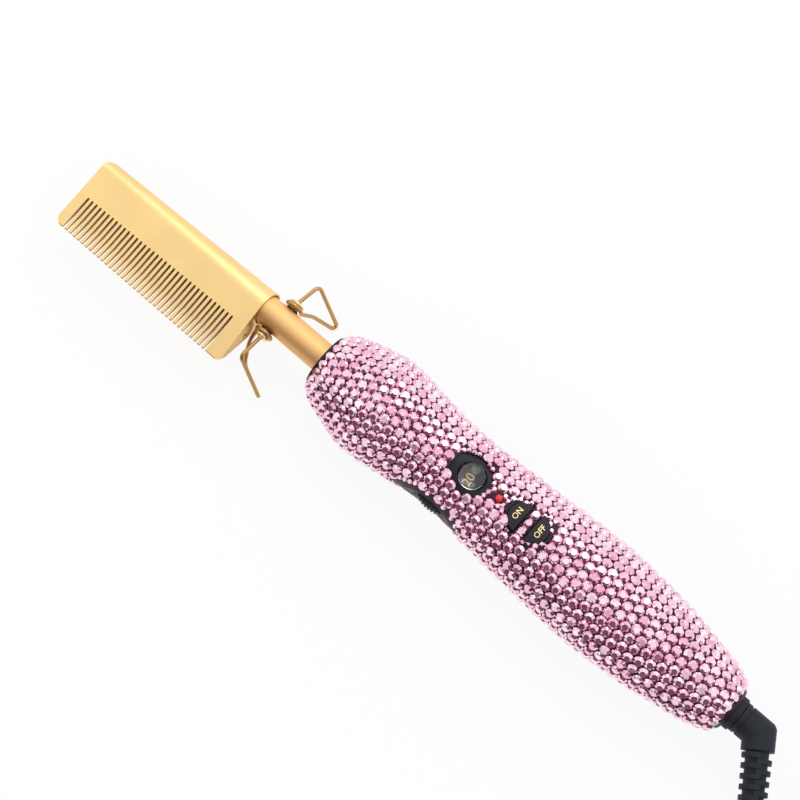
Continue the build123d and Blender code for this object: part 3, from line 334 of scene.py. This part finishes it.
# Painted shade on the comb head: full on the slots' walls, less on the end face.
SLOT_WALL_RECESS_SHADE = 1.0
END_FACE_RECESS_SHADE = 0.25


def add_piece(name, mesh, body, slot, finish=None):
    """Puts a mesh in the scene, riding on a body, with the finish of its slot."""
    piece = bpy.data.objects.new(name, mesh)
    scene.collection.objects.link(piece)
    mesh.materials.clear()
    mesh.materials.append(FINISHES[finish or slot])
    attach(piece, body)
    return piece


def mesh_from(bm, name):
    """A mesh with smooth faces, and sharp edges where they turn by much."""
    mesh = bpy.data.meshes.new(name)
    bm.to_mesh(mesh)
    bm.free()
    for face in mesh.polygons:
        face.use_smooth = True
    mesh.set_sharp_from_angle(angle=math.radians(SHARP_TURN))
    return mesh


def weighted(mesh):
    """The mesh with normals that follow its larger faces, so that flats stay flat beside a rounding."""
    holder = bpy.data.objects.new(mesh.name, mesh)
    scene.collection.objects.link(holder)
    modifier = holder.modifiers.new("weighted", "WEIGHTED_NORMAL")
    modifier.keep_sharp = True
    made = bpy.data.meshes.new_from_object(holder.evaluated_get(bpy.context.evaluated_depsgraph_get()))
    bpy.data.objects.remove(holder)
    bpy.data.meshes.remove(mesh)
    return made


def shade_head_recesses(mesh):
    """Marks the slots' walls and, less, the end face, for painted shade: darker brown where the walls face
    each other in the slots and where the end face mirrors the shaded floor.
    """
    layer = mesh.attributes.new("recess", "FLOAT", "FACE")
    for face in mesh.polygons:
        x = (face.center.x - COMB_TIP.x) / MM
        if SLOTS[0] < x < SLOTS[1] and abs(face.normal.x) > 0.7:
            layer.data[face.index].value = SLOT_WALL_RECESS_SHADE
        elif face.normal.x > 0.9:
            layer.data[face.index].value = END_FACE_RECESS_SHADE


def body_of(node):
    bodies = frame["record"]["behaviour"]["bodies"]
    return next(body for body, members in bodies.items() if node in members)


def slot_of(node):
    return next(s["material_slot"] for s in frame["record"]["subparts"] if s["node"] == node)


def add_softened(node, width):
    """Stands for a CAD node with its mesh merged and its edges rounded by this many millimetres."""
    bm = bmesh.new()
    bm.from_mesh(nodes[node].data)
    bmesh.ops.remove_doubles(bm, verts=bm.verts, dist=1e-6)
    flat = math.radians(0.5)
    bmesh.ops.dissolve_limit(bm, angle_limit=flat, verts=bm.verts, edges=bm.edges)
    layer = bm.faces.layers.float.new("edge")
    if width:
        least = math.radians(CORNER_TURN)
        corners = [e for e in bm.edges if e.is_manifold and e.calc_face_angle(0) > least]
        made = bmesh.ops.bevel(
            bm,
            geom=corners,
            offset=width * MM,
            segments=2,
            profile=0.5,
            affect="EDGES",
            clamp_overlap=True,
            material=-1,
        )
        for face in made["faces"]:
            face[layer] = 1.0
    mesh = weighted(mesh_from(bm, node))
    if node == "comb_head":
        shade_head_recesses(mesh)
    piece = add_piece(node + "_finished", mesh, body_of(node), slot_of(node))
    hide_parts(node)


# ---------------------------------------------------------------- cord
LEAD_POINTS = (
    (324.57, -35.42, 0.0),
    (332.0, -47.0, -0.6),
    (343.0, -58.5, -6.8),
    (356.5, -65.6, -13.0),
    (368.0, -67.6, -15.1),
)
CORD_DIAMETER = 5.6
COIL_CENTRE = (376.0, -26.6)
COIL_OUTER = 41.2
COIL_INNER = 23.8
COIL_PITCH = 5.8
COIL_LOW = -15.1  # height of the lower turns
COIL_HIGH = -9.3
COIL_TURNS = 7.58
TURNS_IN_LAYER = 4
POINTS_IN_TURN = 16
CLIMB = 0.17  # part of a turn in which the cord climbs to the upper turns
STEP_IN = (0.80, 0.98)  # part of each lower turn in which it steps inwards
STEP_OUT = 0.18  # part of each upper turn in which it steps outwards
TAIL_LIFT_ANGLE = 150.0  # degrees round the coil where the tail leaves it
TAIL_RUN = 8.45  # from one point of the tail to the next
TAIL_TURN = 15.0  # degrees
TAIL_RISE = (0.1, 0.19, 0.3, 0.42, 0.55, 0.68, 0.8, 0.9, 0.97, 1.0)  # part of the way up to the plug
PLUG_Z = 0.65


def share(value, start, end):
    """How far value has gone from start to end, from 0 to 1."""
    return min(max((value - start) / (end - start), 0.0), 1.0)


def coil_points():
    """Four turns that step inwards on the table, then the rest on top of them, stepping out again."""
    points = []
    inside = COIL_INNER - COIL_PITCH
    for i in range(int(COIL_TURNS * POINTS_IN_TURN) + 1):
        turns = i / POINTS_IN_TURN
        lap = min(int(turns), 2 * TURNS_IN_LAYER - 1)
        part = turns - lap
        if lap < TURNS_IN_LAYER:
            radius = COIL_OUTER - COIL_PITCH * (lap + share(part, *STEP_IN))
        else:
            radius = inside + COIL_PITCH * (lap - TURNS_IN_LAYER)
            start = CLIMB if lap == TURNS_IN_LAYER else 0.02
            radius += COIL_PITCH * share(part, start, start + STEP_OUT)
        climbed = share(turns, TURNS_IN_LAYER, TURNS_IN_LAYER + CLIMB)
        height = COIL_LOW + (COIL_HIGH - COIL_LOW) * climbed
        reach = radius / math.cos(math.pi / POINTS_IN_TURN)
        angle = math.radians(-90) + 2 * math.pi * turns
        x = COIL_CENTRE[0] + reach * math.cos(angle)
        y = COIL_CENTRE[1] + reach * math.sin(angle)
        points.append((x, y, height))
    return points


def tail_points():
    """From the coil's last turn, curving in over the coil and up to the plug that lies on it."""
    lift = math.radians(TAIL_LIFT_ANGLE)
    heading = lift + math.pi / 2
    place = Vector(COIL_CENTRE) + COIL_OUTER * Vector((math.cos(lift), math.sin(lift)))
    place -= TAIL_RUN / 2 * Vector((math.cos(heading), math.sin(heading)))
    points = []
    for part in TAIL_RISE:
        points.append((*place, COIL_HIGH + (PLUG_Z - COIL_HIGH) * part))
        place += TAIL_RUN * Vector((math.cos(heading), math.sin(heading)))
        heading += math.radians(TAIL_TURN)
    return points


def add_cord():
    """One round line from the boot through the coil to the plug."""
    points = [*LEAD_POINTS, *coil_points(), *tail_points()]
    curve = bpy.data.curves.new("cord", "CURVE")
    curve.dimensions = "3D"
    curve.bevel_depth = CORD_DIAMETER / 2 * MM
    curve.bevel_resolution = 5
    curve.resolution_u = 6
    curve.use_fill_caps = True
    line = curve.splines.new("NURBS")
    line.points.add(len(points) - 1)
    for point, place in zip(line.points, points):
        point.co = (*at(*place), 1.0)
    line.order_u = 3
    line.use_endpoint_u = True
    cord = bpy.data.objects.new("cord", curve)
    scene.collection.objects.link(cord)
    curve.materials.append(FINISHES["cord_jacket"])
    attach(cord, "swivel")
    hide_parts("cord_lead", "cord_coil", "cord_tail")
    return cord


# ---------------------------------------------------------------- handle's surface
TOP_SHARE = 0.88  # height above the axis for each unit of half width
BOTTOM_SHARE = 0.925
SURFACE_STEPS = 720  # round half of a section
SURFACE_FROM = 106.5
SURFACE_TO = 289.0


def tree_of(*names):
    """A search tree of some CAD nodes' faces."""
    points = []
    faces = []
    for name in names:
        mesh = nodes[name].data
        start = len(points)
        points.extend(v.co.copy() for v in mesh.vertices)
        faces.extend([start + i for i in f.vertices] for f in mesh.polygons)
    return BVHTree.FromPolygons(points, faces)


class HandleSurface:
    """The form over the stones, with places given along the shaft and round from the top."""

    def __init__(self):
        self.tree = tree_of("stones_top", "stones_bottom")
        self.rise = (TOP_SHARE - BOTTOM_SHARE) / 2
        self.height = (TOP_SHARE + BOTTOM_SHARE) / 2
        self.widths = {}
        self.rounds = [0.0]
        for i in range(SURFACE_STEPS):
            turn = (i + 0.5) * math.pi / SURFACE_STEPS
            step = math.hypot(math.cos(turn), self.height * math.sin(turn)) * math.pi / SURFACE_STEPS
            self.rounds.append(self.rounds[-1] + step)

    def half_width(self, x):
        """From the shaft's axis to the side."""
        key = round(min(max(x, SURFACE_FROM), SURFACE_TO), 2)
        if key not in self.widths:
            hit = self.tree.ray_cast(at(key, 60, -0.4), Vector((0, -1, 0)))[0]
            self.widths[key] = (hit.y - COMB_TIP.y) / MM
        return self.widths[key]

    def slope(self, x):
        """How fast the half width grows along the shaft."""
        low = max(x - 0.8, SURFACE_FROM)
        high = min(x + 0.8, SURFACE_TO)
        return (self.half_width(high) - self.half_width(low)) / (high - low)

    def half_round(self, x):
        """From the top round one side to the bottom."""
        return self.rounds[-1] * self.half_width(x)

    def turn_at(self, x, s):
        """The angle from the top that lies this far round the surface."""
        want = abs(s) / self.half_width(x)
        low = 0
        high = SURFACE_STEPS
        while high - low > 1:
            middle = (low + high) // 2
            if self.rounds[middle] < want:
                low = middle
            else:
                high = middle
        part = share(want, self.rounds[low], self.rounds[high])
        return math.copysign((low + part) * math.pi / SURFACE_STEPS, s)

    def place(self, x, s):
        """The point in millimetres from the comb's tip and the way out of the surface."""
        wide = self.half_width(x)
        turn = self.turn_at(x, s)
        y = wide * math.sin(turn)
        up = self.height * wide * math.cos(turn)
        across = math.sin(turn) / wide
        upward = math.cos(turn) / (self.height * wide)
        flow = -self.slope(x) * (across * y / wide + upward * (up + self.rise * wide) / wide)
        out = Vector((flow, across, upward)).normalized()
        return Vector((x, y, self.rise * wide + up)), out


# ---------------------------------------------------------------- stones
STONE_HEIGHT = 1.12
STONE_SINK = 0.08  # a stone's table lies this far under the surface
CLEARANCE = 0.84  # of a stone's radius, from its middle to the nearest opening
FIRST_COLUMN = 196.55  # the column between the two buttons
STONES_FROM = 105.0
STONES_TO = 289.1
HANDLE_END = 290.0
SETTLING_ROUNDS = 24
SMALL_RADII = (0.92, 1.5)
SMALL_GRID = 0.45  # from one place tried for a small stone to the next
TABLE_SHARE = 0.56  # of a stone's radius
GIRDLE_SHARE = 0.22  # of a stone's height
BUTTON_SQUASH = 1.12  # a button's length for its width, against half a disc


def along(x, front, rear):
    """A size that grows from the handle's front to its rear."""
    return front + (rear - front) * share(x, STONES_FROM, HANDLE_END)


def stone_radius(x):
    return along(x, 1.9, 2.0)


def column_pitch(x):
    return along(x, 3.42, 3.78)


def row_pitch(x):
    return along(x, 3.84, 4.02)


def rounded_box_gap(x, y, middle, half, corner):
    """Distance from a rounded rectangle, negative inside it."""
    across = abs(x - middle[0]) - half[0] + corner
    up = abs(y - middle[1]) - half[1] + corner
    return math.hypot(max(across, 0), max(up, 0)) + min(max(across, up), 0) - corner


def half_disc_gap(x, y, flat, radius, facing):
    """Distance from half a disc on one side of its flat edge, negative inside it."""
    return max(math.hypot(x - flat, y) - radius, (flat - x) * facing)


def opening_gap(x, y):
    """Distance from the nearest of the window, the indicator and the buttons, seen from above."""
    return min(
        rounded_box_gap(x, y, (171.1, 0.2), (7.2, 6.15), 5.4),
        math.hypot(x - 183.5, y) - 1.43,
        half_disc_gap(x, BUTTON_SQUASH * y, 194.5, 5.5, -1),
        half_disc_gap(x, BUTTON_SQUASH * y, 198.6, 5.65, 1),
    )


SCOOP_MIDDLE = Vector((166.0, -40.8, 0.0))
SCOOP_RADIUS = 26.7


class Stone:
    """One stone's place on the handle and its size, in millimetres."""

    def __init__(self, surface, x, s, radius):
        self.surface = surface
        self.radius = radius
        self.free = False
        self.move_to(x, s)

    def move_to(self, x, s):
        self.x = min(max(x, STONES_FROM + 0.7 * self.radius), STONES_TO - 0.7 * self.radius)
        self.s = s
        self.point, self.out = self.surface.place(self.x, s)

    def gap(self):
        """Distance from the openings and the finger recess."""
        scoop = (self.point - SCOOP_MIDDLE).length - SCOOP_RADIUS
        if self.point.z < 0:
            return scoop
        return min(scoop, opening_gap(self.point.x, self.point.y))

    def gap_slope(self):
        """The way in which that distance grows, along the handle and round it."""
        x, s = self.x, self.s
        here = self.gap()
        self.move_to(x + 0.1, s)
        ahead = self.gap() - here
        self.move_to(x, s + 0.1)
        beside = self.gap() - here
        self.move_to(x, s)
        size = math.hypot(ahead, beside) or 1.0
        return ahead / size, beside / size


def column_places():
    """The columns' places along the shaft, each with its number from the one between the buttons."""
    for way in (1, -1):
        x = FIRST_COLUMN
        number = 0
        while STONES_FROM + 1.2 < x < STONES_TO - 1.2:
            if number or way == 1:
                yield x, number
            step = column_pitch(x)
            tilt = SURFACE.slope(x)
            x += way * step / math.hypot(1, 0.95 * tilt)
            number += way


def first_stones():
    """Hexagonal rows, set out from the top of the handle to the seam underneath."""
    stones = []
    for x, number in column_places():
        half = SURFACE.half_round(x)
        pitch = row_pitch(x)
        count = int(2 * half / pitch)
        pitch += (2 * half / count - pitch) * 0.5
        for i in range(-count, count + 1):
            s = (i + 0.5 * (number % 2)) * pitch
            radius = stone_radius(x) * dice.uniform(0.975, 1.015)
            if abs(s) > half - 0.35 * pitch:
                continue
            stone = Stone(SURFACE, x + dice.uniform(-0.1, 0.1), s + dice.uniform(-0.13, 0.13), radius)
            gap = stone.gap()
            if gap > -0.35 * radius:
                stone.free = gap < CLEARANCE * radius or abs(s) > half - pitch
                stones.append(stone)
    return stones


def settle(stones):
    """Stones near an opening or the seam move until they no longer lie on each other."""
    for _ in range(SETTLING_ROUNDS):
        tree = KDTree(len(stones))
        for i, stone in enumerate(stones):
            tree.insert(stone.point, i)
        tree.balance()
        for i, stone in enumerate(stones):
            if not stone.free:
                continue
            x, s = stone.x, stone.s
            for point, other, distance in tree.find_range(stone.point, 2.2 * stone.radius):
                want = 0.98 * (stone.radius + stones[other].radius)
                if other == i or distance >= want:
                    continue
                apart = stone.point - point
                side = stone.out.cross(Vector((1, 0, 0))).normalized()
                push = 0.5 * (want - distance) / max(distance, 0.01)
                x += push * apart.x
                s -= push * apart.dot(side)
            stone.move_to(x, s)
            room = stone.gap()
            if room < CLEARANCE * stone.radius:
                ahead, beside = stone.gap_slope()
                step = CLEARANCE * stone.radius - room
                stone.move_to(stone.x + step * ahead, stone.s + step * beside)


def drop_crossed(stones):
    """Leaves out a stone that still lies more than a quarter on another or over an opening."""
    kept = []
    for stone in sorted(stones, key=lambda stone: stone.free):
        clear = stone.gap() > 0.6 * stone.radius
        for other in kept:
            if (stone.point - other.point).length < 0.8 * (stone.radius + other.radius):
                clear = False
        if clear:
            kept.append(stone)
    return kept


def small_stones(stones):
    """Fills the holes that are left with smaller stones."""
    tree = KDTree(len(stones))
    for i, stone in enumerate(stones):
        tree.insert(stone.point, i)
    tree.balance()
    smallest, largest = SMALL_RADII
    added = []
    x = STONES_FROM + 1.0
    while x < STONES_TO - 1.0:
        half = SURFACE.half_round(x)
        s = -half
        while s < half:
            trial = Stone(SURFACE, x, s, 1.0)
            _, near, distance = tree.find(trial.point)
            room = distance - stones[near].radius
            if room > smallest:
                to_small = [(trial.point - o.point).length - o.radius for o in added]
                room = min([room, trial.gap()] + to_small)
                if room > smallest:
                    added.append(Stone(SURFACE, x, s, min(room * 1.03, largest)))
            s += SMALL_GRID
        x += SMALL_GRID
    return added


def stone_template():
    """A flat-backed round stone of radius 1 and height 1, cut with a table, eight mains and stars."""
    bm = bmesh.new()
    for i in range(16):
        angle = math.pi * i / 8
        for height in (0.0, GIRDLE_SHARE):
            bm.verts.new((math.cos(angle), math.sin(angle), height))
    for i in range(8):
        angle = math.pi * i / 4
        bm.verts.new((TABLE_SHARE * math.cos(angle), TABLE_SHARE * math.sin(angle), 1.0))
    bmesh.ops.convex_hull(bm, input=bm.verts)
    flat = math.radians(1.0)
    bmesh.ops.dissolve_limit(bm, angle_limit=flat, verts=bm.verts, edges=bm.edges)
    bmesh.ops.recalc_face_normals(bm, faces=bm.faces)
    bm.faces.layers.float.new("glint")
    mesh = bpy.data.meshes.new("stone_template")
    bm.to_mesh(mesh)
    bm.free()
    return mesh


def facet_glints(template):
    """Painted sparkle: how bright each facet of one stone is painted, the table by itself, the others at
    random.
    """
    base = dice.gauss(0.68, 0.10)
    values = []
    for face in template.polygons:
        if face.normal.z > 0.9:
            values.append(min(max(base + dice.gauss(0.06, 0.1), 0.1), 1.0))
        elif face.normal.z > 0.05:
            values.append(min(max(base + dice.gauss(0.0, 0.21), 0.0), 1.0))
        else:
            values.append(0.25)
    return values


def add_stones(name, stones, replaced):
    """One piece of many stones, each tilted a little and turned, with painted sparkle of its own."""
    template = stone_template()
    bm = bmesh.new()
    bm.faces.layers.float.new("glint")
    for stone in stones:
        height = STONE_HEIGHT * min(1.0, 0.35 + 0.65 * stone.radius / 1.75)
        tilt = Euler((dice.gauss(0, 0.035), dice.gauss(0, 0.035), dice.uniform(0, 2 * math.pi)))
        base = at(*(stone.point - stone.out * (STONE_HEIGHT + STONE_SINK)))
        turn = stone.out.to_track_quat("Z", "Y").to_matrix().to_4x4()
        size = Matrix.Diagonal((stone.radius * MM, stone.radius * MM, height * MM, 1.0))
        move = Matrix.Translation(base) @ turn @ tilt.to_matrix().to_4x4() @ size
        template.attributes["glint"].data.foreach_set("value", facet_glints(template))
        template.transform(move)
        bm.from_mesh(template)
        template.transform(move.inverted())
    mesh = bpy.data.meshes.new(name)
    bm.to_mesh(mesh)
    bm.free()
    bpy.data.meshes.remove(template)
    piece = add_piece(name, mesh, "comb", "pink_stone")
    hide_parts(replaced)


# ---------------------------------------------------------------- lettering
CAPITAL_SHARE = 0.7  # a capital's height for each unit of text size
DIAL_NUMBERS = ("5", "10", "15", "20", "25")
DIAL_STEP = 60.0  # degrees
DIAL_SKEW = -22.0  # the numbers are printed a little askew
SHOWN_TURN = 27.4  # degrees, where the number under the lens stands on the dial
NUMBER_REACH = 5.9  # from the dial's middle


def letters(text, height):
    """A flat text of this height in millimetres, as a thin mesh round its own middle."""
    curve = bpy.data.curves.new(text, "FONT")
    curve.body = text
    curve.align_x = "CENTER"
    curve.align_y = "CENTER"
    curve.size = height * MM / CAPITAL_SHARE
    curve.extrude = 0.03 * MM
    curve.offset = 0.035 * MM
    curve.resolution_u = 3
    holder = bpy.data.objects.new(text, curve)
    scene.collection.objects.link(holder)
    bpy.context.view_layer.update()
    mesh = bpy.data.meshes.new_from_object(holder)
    bpy.data.objects.remove(holder)
    bpy.data.curves.remove(curve)
    return mesh


def lay_on(mesh, tree):
    """Drops a flat mesh on what lies under it, each point on its own."""
    for vertex in mesh.vertices:
        start = Vector((vertex.co.x, vertex.co.y, 0.1))
        hit = tree.ray_cast(start, Vector((0, 0, -1)))[0]
        vertex.co.z = hit.z + vertex.co.z + 0.02 * MM


def add_button_text(name, text, x, node):
    """A word across the handle, lying on its button."""
    mesh = letters(text, 2.0)
    spin = Matrix.Rotation(math.radians(90), 4, "Z")
    mesh.transform(Matrix.Translation(at(x, 0.0).xy.to_3d()) @ spin)
    lay_on(mesh, tree_of(node))
    add_piece(name, mesh, body_of(node), "button_plastic", "gold_print")


def add_dial_numbers():
    """Numbers round the dial, their tops towards its middle, with 20 under the lens."""
    for i, text in enumerate(DIAL_NUMBERS):
        turn = math.radians(SHOWN_TURN + DIAL_STEP * (i - DIAL_NUMBERS.index("20")))
        x = WHEEL_MIDDLE[0] + NUMBER_REACH * math.cos(turn)
        y = WHEEL_MIDDLE[1] + NUMBER_REACH * math.sin(turn)
        mesh = letters(text, 2.3)
        spin = Matrix.Rotation(turn + math.radians(90 + DIAL_SKEW), 4, "Z")
        mesh.transform(Matrix.Translation(at(x, y, DIAL_FACE + 0.04)) @ spin)
        add_piece("dial_number_" + text, mesh, "dial", "dial_plastic", "gold_print")


# ---------------------------------------------------------------- studio
FLOOR_GLOW = 0.88  # how much of the floor's look is plain white, the rest takes the shadow
WAY_TO_DARK = (0.35, -1.0)  # the dark side of the room, along and across the handle


def add_floor():
    """White paper that keeps a part of the shadow."""
    bm = bmesh.new()
    bmesh.ops.create_grid(bm, x_segments=1, y_segments=1, size=4.0)
    mesh = bpy.data.meshes.new("floor")
    bm.to_mesh(mesh)
    bm.free()
    floor = bpy.data.objects.new("floor", mesh)
    floor.location.z = -0.0001
    scene.collection.objects.link(floor)
    finish = Finish("floor_paper", base_color=rgb(0.93, 0.92, 0.93), roughness=0.9, specular_ior_level=0.0)
    path = finish.node("ShaderNodeLightPath").outputs
    seen = Number(finish, path["Is Camera Ray"]) + Number(finish, path["Is Glossy Ray"])
    seen = seen + Number(finish, path["Is Transmission Ray"])
    glow = finish.node("ShaderNodeEmission", None, {"Color": rgb(1.0, 1.0, 1.0), "Strength": 1.0})
    inputs = {0: seen * FLOOR_GLOW, 1: finish.shader.outputs[0], 2: glow.outputs[0]}
    mixed = finish.node("ShaderNodeMixShader", None, inputs)
    output = finish.tree.nodes["Material Output"]
    finish.tree.links.new(mixed.outputs[0], output.inputs["Surface"])
    mesh.materials.append(finish.material)


class WorldFinish(Finish):
    """The studio's surroundings."""

    def __init__(self):
        world = bpy.data.worlds.new("studio")
        world.use_nodes = True
        scene.world = world
        self.tree = world.node_tree
        self.shader = self.tree.nodes["Background"]


def add_world():
    """Plain soft light, with a darker room on one side that only gloss shows."""
    world = WorldFinish()
    way = world.node("ShaderNodeTexCoord").outputs["Generated"]
    parts = world.node("ShaderNodeSeparateXYZ", None, {0: way}).outputs
    side = WAY_TO_DARK[0] * Number(world, parts[0]) + WAY_TO_DARK[1] * Number(world, parts[1])
    dark = side.ramp(0.30, 0.52)
    room = world.mix(dark, rgb(1.0, 1.0, 1.0), rgb(0.18, 0.09, 0.12))
    path = world.node("ShaderNodeLightPath").outputs
    gloss = Number(world, path["Is Glossy Ray"]) + Number(world, path["Is Transmission Ray"])
    plain = world.mix(Number(world, path["Is Camera Ray"]), rgb(0.95, 0.95, 0.96), rgb(1.0, 1.0, 1.0))
    world.feed("Color", world.mix(gloss, plain, room))


def add_lamp(name, way, distance, size, radiance):
    """A square soft box, its sizes in metres, that faces the comb's middle from the given way."""
    light = bpy.data.lights.new(name, "AREA")
    light.shape = "SQUARE"
    light.size = size
    light.energy = radiance * math.pi * size * size
    lamp = bpy.data.objects.new(name, light)
    scene.collection.objects.link(lamp)
    lamp.location = Vector(way).normalized() * distance
    lamp.rotation_euler = Vector(way).to_track_quat("Z", "Y").to_euler()


# ---------------------------------------------------------------- the scene
add_camera()
cord = add_cord()

# The CAD nodes with their edges rounded, and by how much.
for node, width in (
    ("comb_head", 0.12),
    ("shaft_tube", 0.1),
    ("stand_studs", 0.1),
    ("stand_lock_washers", 0.08),
    ("stand_hex_nuts", 0.18),
    ("stand_outer_washers", 0.15),
    ("stand_wire_spine_side", 0.0),
    ("stand_wire_teeth_side", 0.0),
    ("nose_ring", 0.15),
    ("handle_screws", 0.1),
    ("window_bezel", 0.15),
    ("temperature_wheel", 0.06),
    ("on_button", 0.25),
    ("off_button", 0.25),
    ("indicator_led", 0.0),
    ("cord_collar", 0.3),
    ("swivel_elbow", 0.25),
    ("coil_tie", 0.1),
    ("plug_body", 0.6),
    ("plug_pins", 0.2),
):
    add_softened(node, width)

# CAD nodes that no piece stands for are shown as they are, with a finish of their own.
for name, node in nodes.items():
    if not node.hide_render:
        node.data.materials.clear()
        node.data.materials.append(FINISHES[SHELL_FINISH.get(name, slot_of(name))])

SURFACE = HandleSurface()
placed = first_stones()
settle(placed)
placed = drop_crossed(placed)
placed += small_stones(placed)
add_stones("stones_top_set", [s for s in placed if s.point.z >= 0], "stones_top")
add_stones("stones_bottom_set", [s for s in placed if s.point.z < 0], "stones_bottom")

add_button_text("on_text", "ON", 191.7, "on_button")
add_button_text("off_text", "OFF", 201.5, "off_button")
add_dial_numbers()

add_floor()
add_world()
add_lamp("key", (-0.1, 0.56, 0.82), 1.0, 0.5, 2.0)
add_lamp("fill", (-0.5, -0.5, 0.8), 1.3, 0.5, 0.5)
scene.view_settings.view_transform = "Standard"
